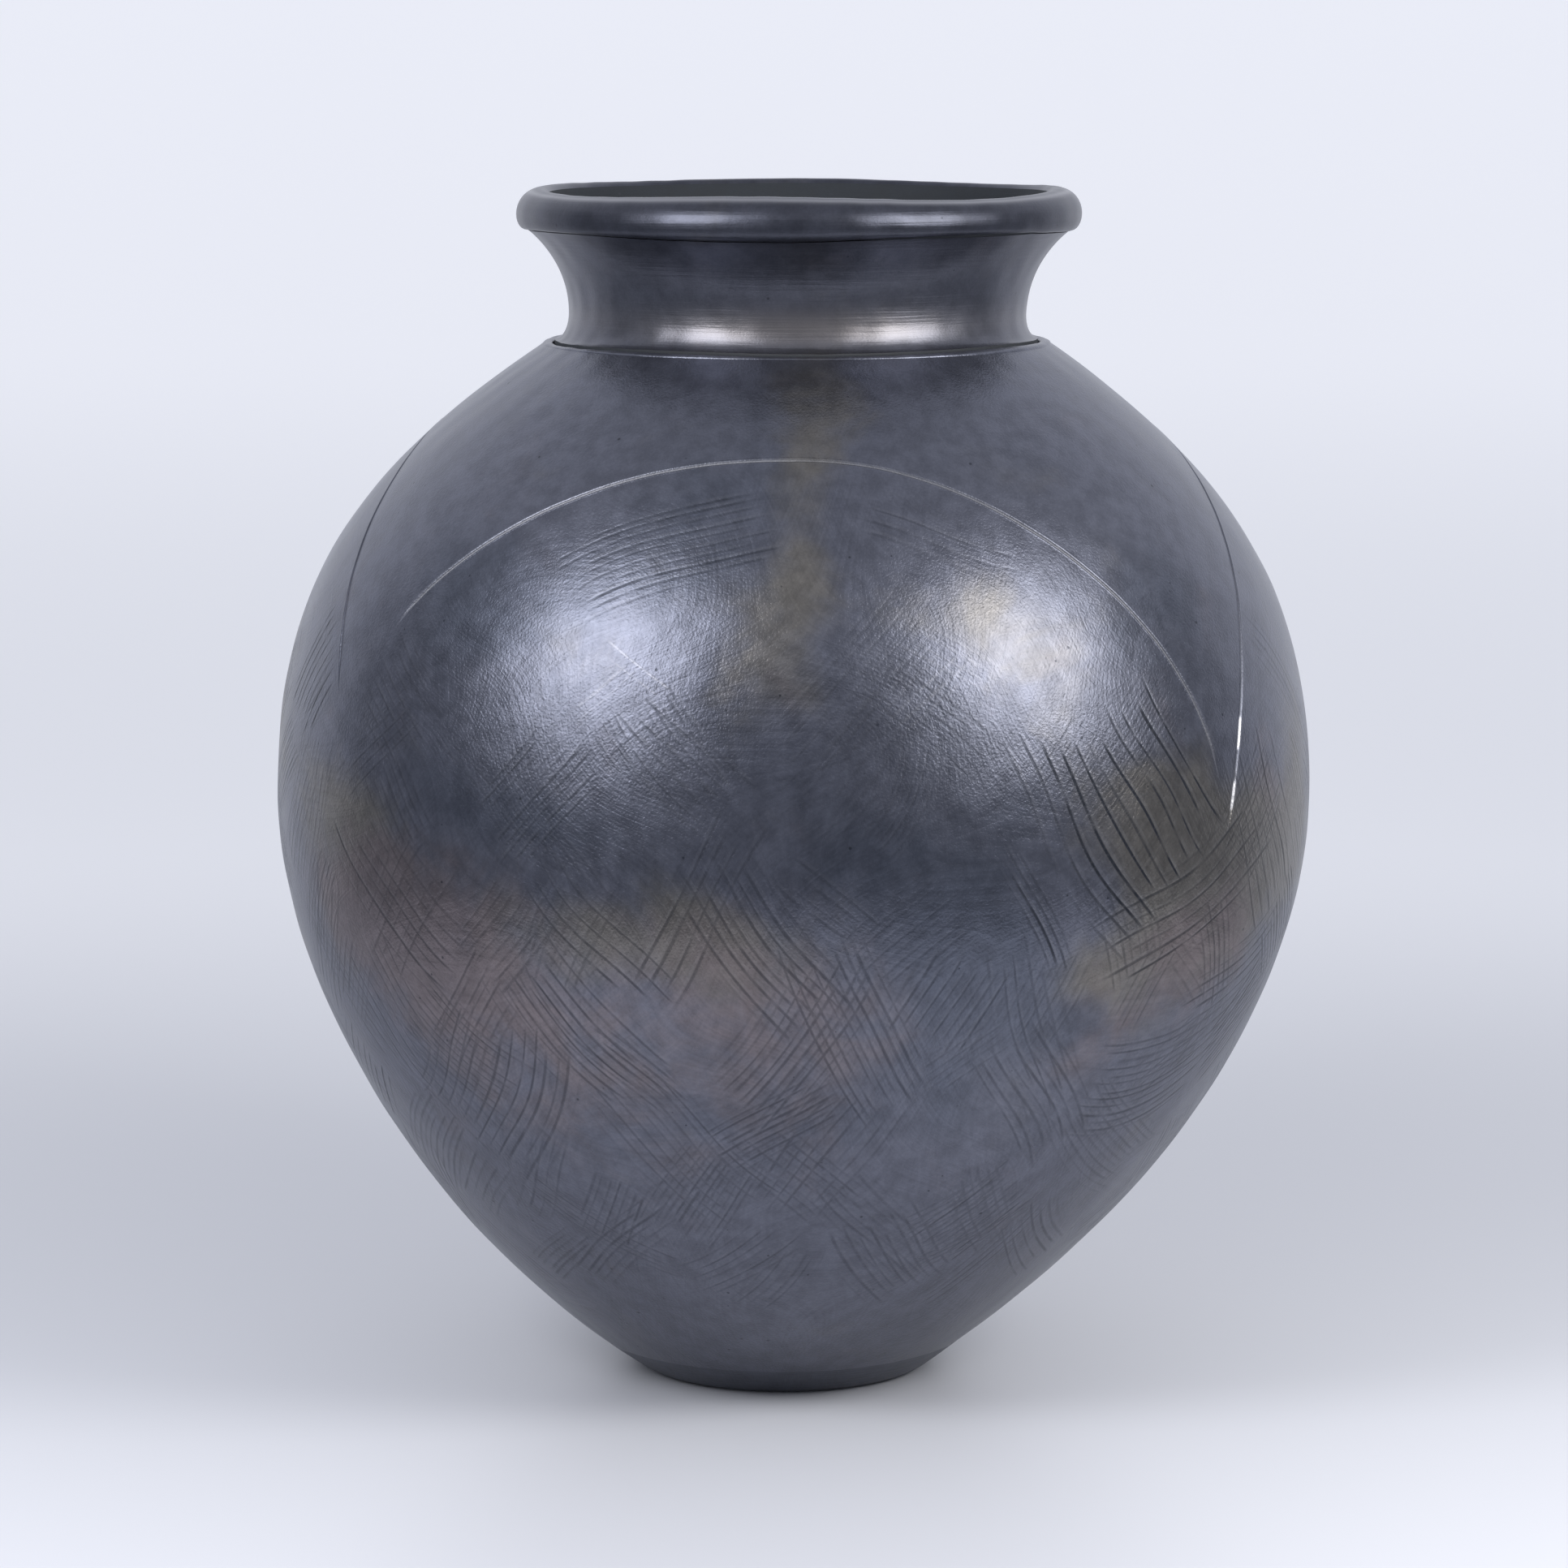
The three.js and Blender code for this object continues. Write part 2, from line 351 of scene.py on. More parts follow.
FRONT_BUNDLES = [
    bundle(-16, 264, 21, 60, 30, 2.8, -420, 0.9),
    bundle(-13.5, 208, -45, 38, 30, 5.2, 330, 1.0),
    bundle(-28, 196, 48, 40, 32, 2.7, 210, 0.8),
    bundle(-21.5, 158, -47, 56, 26, 4.8, 300, 0.8),
    bundle(-17.5, 232, -33, 27, 9, 3.4, 600, -0.9),
    bundle(-21, 226, 42, 22, 9, 3.0, 500, -0.35),
    bundle(17, 236, -28, 34, 16, 3.2, 300, -0.3),
    bundle(14, 226, 40, 30, 14, 3.0, -300, -0.3),
    bundle(-47, 162, -43, 62, 40, 4.6, 160, 0.7),
    bundle(-47, 160, 50, 50, 30, 4.2, -400, 0.6),
    bundle(-10, 165, 63, 58, 24, 4.2, 700, 0.7),
    bundle(-3, 156, -54, 56, 32, 3.3, 900, 0.65),
    bundle(-38, 106, -124, 56, 52, 3.7, -135, 0.6),
    bundle(-24, 130, -51, 56, 32, 3.2, 345, 0.7),
    bundle(7, 131, -64, 66, 30, 2.6, 235, 0.55),
    bundle(0, 126, 58, 60, 32, 2.8, 310, 0.55),
    bundle(13, 66, -50, 66, 24, 3.0, 1000, 0.35),
    bundle(48, 160, 24, 80, 34, 4.2, 520, 0.9),
    bundle(48, 106, 8, 50, 36, 2.6, 80, 0.6),
    bundle(18, 267, -22, 58, 17, 4.2, 236, 0.6),
    bundle(38, 190, -57, 66, 64, 5.4, 127, 1.7),
    bundle(12, 196, 64, 34, 15, 1.8, 45, 0.5),
    bundle(26, 165, -60, 52, 10, 2.5, -340, 1.0),
    bundle(-38, 128, 52, 40, 26, 2.9, -300, 0.5),
    bundle(28, 128, -66, 60, 26, 4.2, 260, 0.5),
    bundle(-14, 92, -56, 64, 34, 3.4, 400, 0.5),
    bundle(4, 92, 60, 56, 34, 3.6, -300, 0.4),
    bundle(-52, 128, -60, 50, 34, 3.8, 150, 0.5),
    bundle(62, 176, -62, 60, 40, 4.4, 130, 0.8),
    bundle(62, 128, 22, 60, 40, 3.4, 300, 0.7),
]


def more_bundles(seed=5):
    """Seeded bundles all round the pot, laid the same way. In front they are lighter."""
    dice = np.random.default_rng(seed)
    bundles = []
    for height in ROUND_HEIGHTS:
        for azimuth in ROUND_AZIMUTHS:
            in_front = azimuth < FRONT_EDGE or azimuth > 360 - FRONT_EDGE
            heading = dice.choice([-1, 1]) * dice.uniform(36, 68)
            swing = dice.choice([-1, 1]) * dice.uniform(110, 420)
            size = (dice.uniform(28, 58), dice.uniform(16, 34), dice.uniform(2.0, 3.6))
            place = (azimuth + dice.uniform(-7, 7), height + dice.uniform(-11, 11))
            pressure = dice.uniform(0.3, 0.6) if in_front else dice.uniform(0.35, 1.0)
            bundles.append(bundle(*place, heading, *size, swing, pressure))
    return bundles


ALL_BUNDLES = FRONT_BUNDLES + more_bundles()
print("bundles:", len(ALL_BUNDLES), "of them by hand:", len(FRONT_BUNDLES))

# %% [markdown]
# ## Strokes at a place
#
# Every vertex is told how many strokes across and how far along it lies in a bundle, and the material
# draws the strokes from that. So the lines stay sharp between vertices. A vertex can carry several
# bundles, one to a layer, and a bundle that finds no free layer is left out.

# %% Readings of the strokes
LAYERS = 7
MARGIN = 5 * MM
FADE_REACH = 1.2
WALL_CURVES_AWAY = 55 * MM
SWAY, SWAY_LONG, SWAY_WIDE = 0.28, 9 * MM, 11 * MM
STROKES_BETWEEN_BUNDLES = 20
GRID_AZIMUTHS, GRID_HEIGHTS = np.arange(0, 360, 1.5), np.arange(20, 300, 3)


def height_to_distance(height):
    """How far up the wall a height lies."""
    return np.interp(height, wall.points[:, 1], wall.distance)


def bundle_frame(item):
    """The middle of a bundle, and the directions along and across its strokes."""
    r, z, way_r, way_z = wall.at(height_to_distance(item["height"]))
    a, h = item["azimuth"], item["heading"]
    level = np.array([math.cos(a), math.sin(a), 0])
    uphill = np.array([math.sin(a) * way_r, -math.cos(a) * way_r, way_z])
    middle = np.array([r * math.sin(a), -r * math.cos(a), z])
    ahead = math.cos(h) * level + math.sin(h) * uphill
    return middle, ahead, math.cos(h) * uphill - math.sin(h) * level


def bundle_reading(item, places):
    """For places on the wall: metres along and across the strokes, the share of the pressure that
    reaches them, and which places lie within the bundle and a margin round it. The back of the pot
    lies beyond the wall's curve, so it is never near."""
    middle, ahead, aside = bundle_frame(item)
    away = places - middle
    x, y, bend = away @ ahead, away @ aside, item["bend"]
    if bend:
        swing = math.copysign(1, bend)
        to_centre = bend - y
        x, y = bend * np.arctan2(x * swing, to_centre * swing), bend - swing * np.hypot(x, to_centre)
    half_long, half_wide = item["length"] / 2, item["width"] / 2
    near = np.abs(away @ np.cross(ahead, aside)) < WALL_CURVES_AWAY
    near &= (np.abs(x) < FADE_REACH * half_long + MARGIN) & (np.abs(y) < half_wide + MARGIN)
    share = 1 - smooth(half_wide - FADE_REACH * item["spacing"], half_wide, np.abs(y))
    share = share * (1 - smooth(half_long, FADE_REACH * half_long, np.abs(x)))
    return x, y, share, near


def in_layers(bundles):
    """Gives each bundle a layer in which it touches no other, or leaves it out."""
    azimuth, height = np.meshgrid(np.radians(GRID_AZIMUTHS), GRID_HEIGHTS * MM)
    r = np.interp(height, wall.points[:, 1], wall.points[:, 0])
    places = np.stack([r * np.sin(azimuth), -r * np.cos(azimuth), height], -1)
    filled = [np.zeros(r.shape, bool) for _ in range(LAYERS)]
    laid = []
    for item in bundles:
        covered = bundle_reading(item, places)[3]
        free = [k for k in range(LAYERS) if not (filled[k] & covered).any()]
        if free:
            filled[free[0]] |= covered
            laid.append({**item, "layer": free[0]})
    return laid


BUNDLES = in_layers(ALL_BUNDLES)
print("bundles laid:", len(BUNDLES), "of", len(ALL_BUNDLES))


def stroke_layers(places):
    """For every vertex and layer: strokes across, share of the length along, the pressure, and the
    spacing in millimetres. The strokes sway a little, together with their neighbours."""
    readings = np.zeros((LAYERS, len(places), 4), np.float32)
    readings[:, :, 3] = 1
    for number, item in enumerate(BUNDLES):
        x, y, share, near = bundle_reading(item, places)
        x, y = x[near], y[near]
        sway = np.sin(x / SWAY_LONG + number) * np.cos(y / SWAY_WIDE + 2 * number)
        across = y / item["spacing"] + SWAY * sway + STROKES_BETWEEN_BUNDLES * number
        spacing = np.full(len(x), item["spacing"] / MM)
        reading = np.stack([across, 2 * x / item["length"], share[near] * item["depth"], spacing], 1)
        readings[item["layer"], near] = reading
    return readings


# %% [markdown]
# ## Smoke patches
#
# In the smoking fire the pot leans on fuel. Where smoke lay thick the clay is blue-black, and where
# air came in it stayed olive or rust brown. Noise alone gives clouds anywhere. The ones that are
# seen on the front are listed one by one as soft ovals, and the material frays their edges with noise.

# %% Patches of the front and the back
OLIVE, RUST, SOOT = 0, 1, 2
PATCH_SQUARENESS, MOST_SMOKE = 1.3, 1.2
BACK_PATCHES, BACK_AZIMUTHS, BACK_HEIGHTS = 34, (84, 276), (70, 285)


def patch(kind, azimuth, height, half_wide, half_high, strength):
    """A soft oval of smoke colour: its middle in degrees and millimetres, its size in millimetres."""
    return dict(
        kind=kind, azimuth=math.radians(azimuth), height=height * MM,
        half_wide=half_wide * MM, half_high=half_high * MM, strength=strength,
    )


FRONT_PATCHES = [
    patch(OLIVE, 3, 300, 16, 18, 0.45),
    patch(OLIVE, 1, 270, 10, 24, 0.5),
    patch(OLIVE, -2, 246, 17, 18, 0.45),
    patch(OLIVE, -1, 226, 22, 12, 0.4),
    patch(OLIVE, 18, 248, 26, 10, 0.4),
    patch(OLIVE, 28, 232, 26, 16, 0.3),
    patch(OLIVE, -24, 236, 22, 14, 0.25),
    patch(OLIVE, 40, 188, 26, 26, 0.75),
    patch(OLIVE, 56, 168, 36, 24, 1.2),
    patch(OLIVE, 74, 178, 30, 28, 0.6),
    patch(OLIVE, 34, 142, 20, 16, 0.5),
    patch(OLIVE, -14, 162, 30, 14, 0.5),
    patch(OLIVE, -6, 150, 28, 16, 0.5),
    patch(OLIVE, -28, 154, 36, 16, 0.55),
    patch(OLIVE, 48, 148, 34, 20, 0.6),
    patch(OLIVE, -58, 178, 34, 22, 0.7),
    patch(RUST, -50, 156, 44, 24, 1.0),
    patch(RUST, -38, 130, 34, 26, 0.45),
    patch(RUST, -16, 140, 44, 30, 0.35),
    patch(RUST, 2, 126, 38, 30, 0.35),
    patch(RUST, 52, 146, 34, 20, 0.7),
    patch(RUST, -20, 98, 70, 20, 0.3),
    patch(RUST, 34, 124, 26, 16, 0.45),
    patch(RUST, 62, 196, 12, 14, 0.5),
    patch(SOOT, 10, 196, 46, 10, 0.25),
    patch(SOOT, -44, 200, 26, 10, 0.3),
    patch(SOOT, -38, 246, 34, 22, 0.6),
    patch(SOOT, -13, 264, 26, 20, 0.6),
    patch(SOOT, 47, 240, 22, 20, 0.6),
    patch(SOOT, 20, 152, 26, 32, 0.9),
    patch(SOOT, 8, 178, 26, 14, 0.6),
    patch(SOOT, 33, 128, 14, 9, 0.6),
    patch(SOOT, -30, 190, 44, 10, 0.5),
    patch(SOOT, -2, 288, 60, 14, 0.2),
    patch(SOOT, -10, 100, 60, 16, 0.4),
    patch(SOOT, 24, 112, 30, 22, 0.4),
]


def patches_round_the_back(seed=8):
    """Seeded patches for the sides and the back."""
    dice = np.random.default_rng(seed)
    for _ in range(BACK_PATCHES):
        size = dice.uniform(16, 44)
        kind = int(dice.choice([OLIVE, OLIVE, RUST, SOOT]))
        place = dice.uniform(*BACK_AZIMUTHS), dice.uniform(*BACK_HEIGHTS)
        yield patch(kind, *place, size, size * dice.uniform(0.4, 1.0), dice.uniform(0.35, 0.9))


PATCHES = FRONT_PATCHES + list(patches_round_the_back())


def smoke_reading(azimuth, radius, height):
    """How olive, rusty and sooty each place is."""
    amounts = np.zeros((len(azimuth), 3), np.float32)
    for spot in PATCHES:
        off = (azimuth - spot["azimuth"] + np.pi) % (2 * np.pi) - np.pi
        x, y = off * radius / spot["half_wide"], (height - spot["height"]) / spot["half_high"]
        amounts[:, spot["kind"]] += spot["strength"] * np.exp(-((x * x + y * y) ** PATCH_SQUARENESS))
    return np.clip(amounts, 0, MOST_SMOKE)


print("patches:", len(PATCHES))

# %% [markdown]
# ## The skin of a piece
#
# Every piece of the pot is a closed ring of clay, so it is its section swept round. The section is
# made of runs, each with a skin of its own: burnished outside, waved inside, plain in a joint. A
# run's skin can be asked for at any place, and its light comes from the same formula, so that even a
# coarse mesh shades smoothly.

# %% Runs of a section
JOINT, INNER, OUTER = 0, 1, 2
PROBE = 0.1 * MM
INSIDE_WAVES, INSIDE_SHIFT = 2.5, 50 * MM


class Run:
    """A stretch of a piece's section: a line, the distances where it starts and ends, its rows of
    faces and what kind of skin it is. A dull run was never burnished."""

    def __init__(self, line, start, end, rows, kind, dull=False):
        self.line, self.start, self.end, self.rows, self.kind = line, start, end, rows, kind
        self.dull = dull or kind != OUTER


def whole(line, rows, kind, dull=False):
    return Run(line, 0, line.length, rows, kind, dull)


def straight(start, end, rows=3, kind=JOINT):
    return whole(Line(np.array([start, end], float)), rows, kind)


def skin(run, azimuth, distance):
    """Points of a run's skin, with all that hands and tools did to it."""
    r, z, way_r, way_z = run.line.at(distance)
    if run.kind == OUTER:
        off, strength, _ = incision(azimuth, r, z, np.abs(way_z))
        proud = unevenness(azimuth, z) + groove(off, strength)
    elif run.kind == INNER:
        proud = INSIDE_WAVES * unevenness(azimuth + 1, z + INSIDE_SHIFT)
    else:
        proud = np.zeros(np.broadcast(azimuth, z).shape)
    turn = 1 if run.end >= run.start else -1
    r = r + proud * way_z * turn
    z = z - proud * way_r * turn
    return np.stack([r * np.sin(azimuth) + lean(z), -r * np.cos(azimuth), z], -1)


def skin_normals(run, azimuth, distance):
    """Directions square to a run's skin, from points a tenth of a millimetre apart."""
    r = np.maximum(run.line.at(distance)[0], 1 * MM)
    turn = 1 if run.end >= run.start else -1
    level = skin(run, azimuth + PROBE / r, distance) - skin(run, azimuth - PROBE / r, distance)
    uphill = skin(run, azimuth, distance + PROBE * turn) - skin(run, azimuth, distance - PROBE * turn)
    normal = np.cross(level, uphill)
    return normal / np.linalg.norm(normal, axis=1)[:, None]


print("skins: joint, inner and outer; points for their light", PROBE / MM, "mm apart")

# %% [markdown]
# ## From a section to a mesh
#
# The plain way to sweep a section, a screw modifier, gives the same faces everywhere. Here the faces
# near a groove are split into quarters three times over, down to a quarter of a millimetre, and the
# rest stay two millimetres wide. A face beside a smaller one simply takes its extra corners, so no
# crack opens.

# %% Rings of faces
AROUND, SPLIT = 480, 8
SPLIT_REACHES = (3.4 * MM, 1.9 * MM, 1.1 * MM)
ON_AXIS = 1e-6


def split_leaves(runs, starts):
    """All the faces as (column, row, size), small near a groove."""
    rows = np.arange(starts[-1] // SPLIT) * SPLIT
    u, v = [a.ravel() for a in np.meshgrid(np.arange(AROUND) * SPLIT, rows)]
    leaves, size = [], SPLIT
    for reach in SPLIT_REACHES:
        near = np.zeros(len(u), bool)
        for run, low, high in zip(runs, starts, starts[1:]):
            if run.kind != OUTER:
                continue
            here = np.flatnonzero((v >= low) & (v < high))
            azimuth, distance = on_run(run, low, high, u[here] + size / 2, v[here] + size / 2)
            r, z, _, way_z = run.line.at(distance)
            off, strength, _ = incision(azimuth, r, z, np.abs(way_z))
            near[here] = (np.abs(off) < reach) & (strength > 0)
        leaves.append((u[~near], v[~near], size))
        size //= 2
        u = np.concatenate([u[near] + i * size for i in (0, 1, 0, 1)])
        v = np.concatenate([v[near] + j * size for j in (0, 0, 1, 1)])
    leaves.append((u, v, size))
    return leaves


def on_run(run, low, high, u, v):
    """Azimuth and distance of grid places on a run. The grid starts at the back."""
    share = (v - low) / (high - low)
    return u / (AROUND * SPLIT) * 2 * np.pi - np.pi, run.start + share * (run.end - run.start)


def ring_faces(leaves, key):
    """The keys of all corners, each face's corners and how many they are, and the face's row."""
    square = ((0, 0), (1, 0), (1, 1), (0, 1))
    corners = [key(u + i * size, v + j * size) for u, v, size in leaves for i, j in square]
    keys = np.unique(np.concatenate(corners))
    loops, counts, rows = [], [], []
    for u, v, size in leaves:
        if not len(u):
            continue
        steps = np.arange(size)
        du = np.concatenate([steps, np.full(size, size), size - steps, np.zeros(size, int)])
        dv = np.concatenate([np.zeros(size, int), steps, np.full(size, size), size - steps])
        wanted = key(u[:, None] + du, v[:, None] + dv)
        found = np.minimum(np.searchsorted(keys, wanted), len(keys) - 1)
        real = (keys[found] == wanted) & (wanted != np.roll(wanted, 1, axis=1))
        loops.append(found[real])
        counts.append(real.sum(1))
        rows.append(v)
    return keys, *map(np.concatenate, (loops, counts, rows))


def fill(data, field, values, kind=np.float32):
    """Writes an array into mesh data."""
    data.foreach_set(field, np.ascontiguousarray(values, kind).ravel())


def smooth_mesh(name, points, loops, counts):
    """A smooth mesh from its points, and the corners of its faces one after the other."""
    mesh = bpy.data.meshes.new(name)
    mesh.vertices.add(len(points))
    fill(mesh.vertices, "co", points)
    mesh.loops.add(len(loops))
    fill(mesh.loops, "vertex_index", loops, np.int32)
    mesh.polygons.add(len(counts))
    fill(mesh.polygons, "loop_start", np.concatenate([[0], np.cumsum(counts)[:-1]]), np.int32)
    mesh.update(calc_edges=True)
    fill(mesh.polygons, "use_smooth", np.ones(len(counts)), bool)
    return mesh


def ring_mesh(name, runs, materials):
    """A closed mesh from the runs of a section. A run that starts or ends on the axis closes there."""
    starts = np.concatenate([[0], np.cumsum([run.rows for run in runs])]) * SPLIT
    across, total = AROUND * SPLIT, int(starts[-1])
    on_axis = runs[0].line.at(runs[0].start)[0] < ON_AXIS
    leaves = split_leaves(runs, starts)

    def key(u, v):
        if on_axis:
            u = np.where((v == 0) | (v == total), 0, u % across)
            return v * across + u
        return (v % total) * across + u % across

    keys, loops, counts, face_rows = ring_faces(leaves, key)
    u, v = keys % across, keys // across
    face_run = np.searchsorted(starts, face_rows, side="right") - 1
    loop_run = np.repeat(face_run, counts)
    points = np.zeros((len(keys), 3))
    wall_data = np.zeros((len(keys), 3))
    owner = np.zeros(len(keys), int)
    loop_normals = np.zeros((len(loops), 3))
    for number in sorted(range(len(runs)), key=lambda k: runs[k].kind):
        run, low, high = runs[number], starts[number], starts[number + 1]
        here, in_loops = np.unique(loops[loop_run == number], return_inverse=True)
        end_row = np.where((v[here] == 0) & (high == total), total, v[here])
        azimuth, distance = on_run(run, low, high, u[here], end_row)
        points[here] = skin(run, azimuth, distance)
        r, z, _, _ = run.line.at(distance)
        wall_data[here] = np.stack([azimuth, r, z], 1)
        owner[here] = number
        if run.kind == OUTER:
            loop_normals[loop_run == number] = skin_normals(run, azimuth, distance)[in_loops]

    mesh = smooth_mesh(name, points, loops, counts)
    dull_run = np.array([run.dull for run in runs])
    fill(mesh.polygons, "material_index", dull_run[face_run], np.int32)
    for material in materials:
        mesh.materials.append(material)
    mark_corners(mesh, v, [start % total if not on_axis else start for start in starts])
    mesh.normals_split_custom_set(loop_normals)
    paint_wall(mesh, wall_data, ~dull_run[owner])
    mesh.validate()
    return mesh


def mark_corners(mesh, rows, corner_rows):
    """Marks the section's corners as sharp edges, so that each face of the ring keeps its own light."""
    ends = np.zeros(2 * len(mesh.edges), np.int32)
    mesh.edges.foreach_get("vertices", ends)
    a, b = rows[ends[::2]], rows[ends[1::2]]
    sharp = (a == b) & np.isin(a, corner_rows)
    mesh.attributes.new("sharp_edge", "BOOLEAN", "EDGE").data.foreach_set("value", sharp)


print("faces round the pot:", AROUND, "and", AROUND * SPLIT, "beside a groove")

# %% [markdown]
# ## What the materials read
#
# A material knows a place only by its coordinates, so whatever belongs to the making of the pot is
# written on the vertices as attributes, and so are the painted highlights along the rim's crest and
# round the neck's foot. Painted maps could hold the same, but attributes need no unwrapping and stay
# with the mesh.

# %% Attributes and pieces
# Painted highlights: a thin pale line along the rim's crest, where it catches the bright room, and a
# lighter brownish band round the neck's foot, strongest in front where the lamps are. The band is
# partly the neck's own tint and partly painted highlight.
CREST_RADIUS, CREST_LOWEST, CREST_LINE = 80.5 * MM, 356 * MM, 0.9 * MM
HIGHLIGHT_BAND_HEIGHT, HIGHLIGHT_BAND_WIDTH, HIGHLIGHT_BAND_REACH, HIGHLIGHT_AT_BACK = 322 * MM, 5 * MM, 0.5, 0.25
CALM_ON_GROUND, CUT_LINE_SHARE, CHIP_WIDENS, LEAST_CLIMB = 0.96, 0.9, 0.4, 0.05
THREAD_WAVES = ((0.1, 5, 7), (0.07, 8, -11))


def write_attribute(mesh, name, values):
    """Writes three or four numbers per vertex. The fourth is read from the attribute's alpha."""
    kind, field = ("FLOAT_VECTOR", "vector") if values.shape[1] == 3 else ("FLOAT_COLOR", "color")
    fill(mesh.attributes.new(name, kind, "POINT").data, field, values)


def painted_highlight_lines(azimuth, radius, height):
    """Painted highlights: a line along the rim's crest, and a band round the neck's foot, most in
    front.
    """
    crest = np.exp(-(((radius - CREST_RADIUS) / CREST_LINE) ** 2)) * (height > CREST_LOWEST)
    band = np.exp(-(((height - HIGHLIGHT_BAND_HEIGHT) / HIGHLIGHT_BAND_WIDTH) ** 2))
    in_front = np.exp(-((azimuth / HIGHLIGHT_BAND_REACH) ** 2))
    return crest, band * (HIGHLIGHT_AT_BACK + (1 - HIGHLIGHT_AT_BACK) * in_front)


def paint_wall(mesh, wall_data, outer):
    """Writes what the materials read: the strokes, the smoke, the grooves, the plain ground, the
    painted highlight lines of the neck and rim, and the two threads that the hatching follows."""
    azimuth, r, z = wall_data.T
    places = np.stack([r * np.sin(azimuth), -r * np.cos(azimuth), z], 1)
    climb = np.maximum(wall.at(height_to_distance(z))[3], LEAST_CLIMB)
    on_body = outer & (z < SHOULDER_HEIGHT)
    ground = np.where(on_body, smooth_ground(azimuth, r, z, climb), 1)
    strokes = stroke_layers(places)
    for layer in range(LAYERS):
        strokes[layer, :, 2] *= on_body * (1 - CALM_ON_GROUND * ground)
        write_attribute(mesh, f"stroke_{layer}", strokes[layer])
    write_attribute(mesh, "smoke", smoke_reading(azimuth, r, z) * outer[:, None])
    off, strength, pale = incision(azimuth, r, z, climb)
    wide = CUT_LINE_SHARE * GROOVE_HALF_WIDTH * (1 + CHIP_WIDENS * np.clip(pale - 1, 0, 1))
    cut = np.exp(-((off / wide) ** 2)) * strength * on_body
    write_attribute(mesh, "incision", np.stack([cut, pale, ground], 1))
    painted_lines = np.stack([*painted_highlight_lines(azimuth, r, z), np.zeros_like(z)], 1)
    write_attribute(mesh, "wear", painted_lines * outer[:, None])
    swing = z / BELLY_RADIUS
    slow = sum(size * np.sin(n * azimuth + k * swing) for size, n, k in THREAD_WAVES)
    for name, turned in (("weave_up", azimuth - swing), ("weave_down", azimuth + swing)):
        turned = turned + slow
        thread = np.stack([np.cos(turned), np.sin(turned), swing], 1)
        write_attribute(mesh, name, thread * BELLY_RADIUS)


def add_piece(name, node, runs, materials):
    """Builds a piece of the pot in the place of its solid, and lets it ride with the pot."""
    mesh = ring_mesh(name, runs, materials)
    piece = bpy.data.objects.new(name, mesh)
    bpy.context.scene.collection.objects.link(piece)
    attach(piece, "root")
    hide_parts(node)
    low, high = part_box(node)
    faces = sum(max(1, len(p.vertices) - 2) for p in mesh.polygons)
    print(f"{name}: {faces} triangles, {(high.x - low.x) / MM:.1f} mm across its solid")


print("attributes:", LAYERS, "stroke layers, smoke, incision, wear, weave_up and weave_down")

# %% [markdown]
# ## Effects that several finishes share
#
# The marks on the pot are shader node groups. Each puts out masks and heights only, and every
# material mixes them with values of its own. A small helper makes the wiring short: it adds a node,
# links or sets its inputs, and hands back its output.

# %% A helper for node trees
class Wiring:
    """Adds nodes to a tree. A socket given as a value is linked, and anything else is set."""

    def __init__(self, tree):
        self.tree = tree

    def node(self, kind, inputs=None, **settings):
        made = self.tree.nodes.new(kind)
        for name, value in settings.items():
            setattr(made, name, value)
        for name, value in (inputs or {}).items():
            if isinstance(value, bpy.types.NodeSocket):
                self.tree.links.new(value, made.inputs[name])
            else:
                made.inputs[name].default_value = value
        return made

    def group(self, name, inputs):
        node_tree = bpy.data.node_groups[name]
        return self.node("ShaderNodeGroup", inputs, node_tree=node_tree).outputs

    def math(self, operation, *values):
        return self.node("ShaderNodeMath", dict(enumerate(values)), operation=operation).outputs[0]

    def times(self, value, factor):
        return self.math("MULTIPLY", value, factor)

    def times_plus(self, value, factor, added):
        return self.math("MULTIPLY_ADD", value, factor, added)

    def join(self, **parts):
        """A vector from some of its parts, named x, y and z."""
        inputs = {part.upper(): value for part, value in parts.items()}
        return self.node("ShaderNodeCombineXYZ", inputs).outputs[0]

    def ramp(self, value, low, high, out_low=0.0, out_high=1.0):
        """Goes smoothly from one value to another."""
        names = ("Value", "From Min", "From Max", "To Min", "To Max")
        inputs = dict(zip(names, (value, low, high, out_low, out_high)))
        made = self.node("ShaderNodeMapRange", inputs, interpolation_type="SMOOTHSTEP")
        return made.outputs["Result"]

    def mix(self, share, a, b):
        """Two colours mixed. Their sockets are the mix node's seventh and eighth."""
        inputs = {0: share, 6: a, 7: b}
        return self.node("ShaderNodeMix", inputs, data_type="RGBA", clamp_factor=True).outputs[2]

    def noise(self, vector, scale, detail, rough=0.5, **extra):
        inputs = {"Vector": vector, "Scale": scale, "Detail": detail, "Roughness": rough, **extra}
        return self.node("ShaderNodeTexNoise", inputs).outputs["Fac"]

    def parts(self, vector):
        return self.node("ShaderNodeSeparateXYZ", {0: vector}).outputs

    def attribute(self, name):
        return self.node("ShaderNodeAttribute", attribute_name=name).outputs["Vector"]


VECTOR, COLOUR, NUMBER = "NodeSocketVector", "NodeSocketColor", "NodeSocketFloat"


def add_group(name, inputs, outputs, build):
    """Adds a node group with named sockets. An input given as a number starts at it. The builder is
    handed the wiring and the inputs, and returns what goes to each output."""
    tree = bpy.data.node_groups.new(name, "ShaderNodeTree")
    for title, value in inputs.items():
        kind = value if isinstance(value, str) else NUMBER
        socket = tree.interface.new_socket(title, in_out="INPUT", socket_type=kind)
        if kind == NUMBER:
            socket.default_value = value
    for title in outputs:
        kind = COLOUR if title == "Color" else NUMBER
        tree.interface.new_socket(title, in_out="OUTPUT", socket_type=kind)
    wires = Wiring(tree)
    made = build(wires, wires.node("NodeGroupInput").outputs)
    wires.node("NodeGroupOutput", dict(zip(outputs, made)))
    print("group:", name)
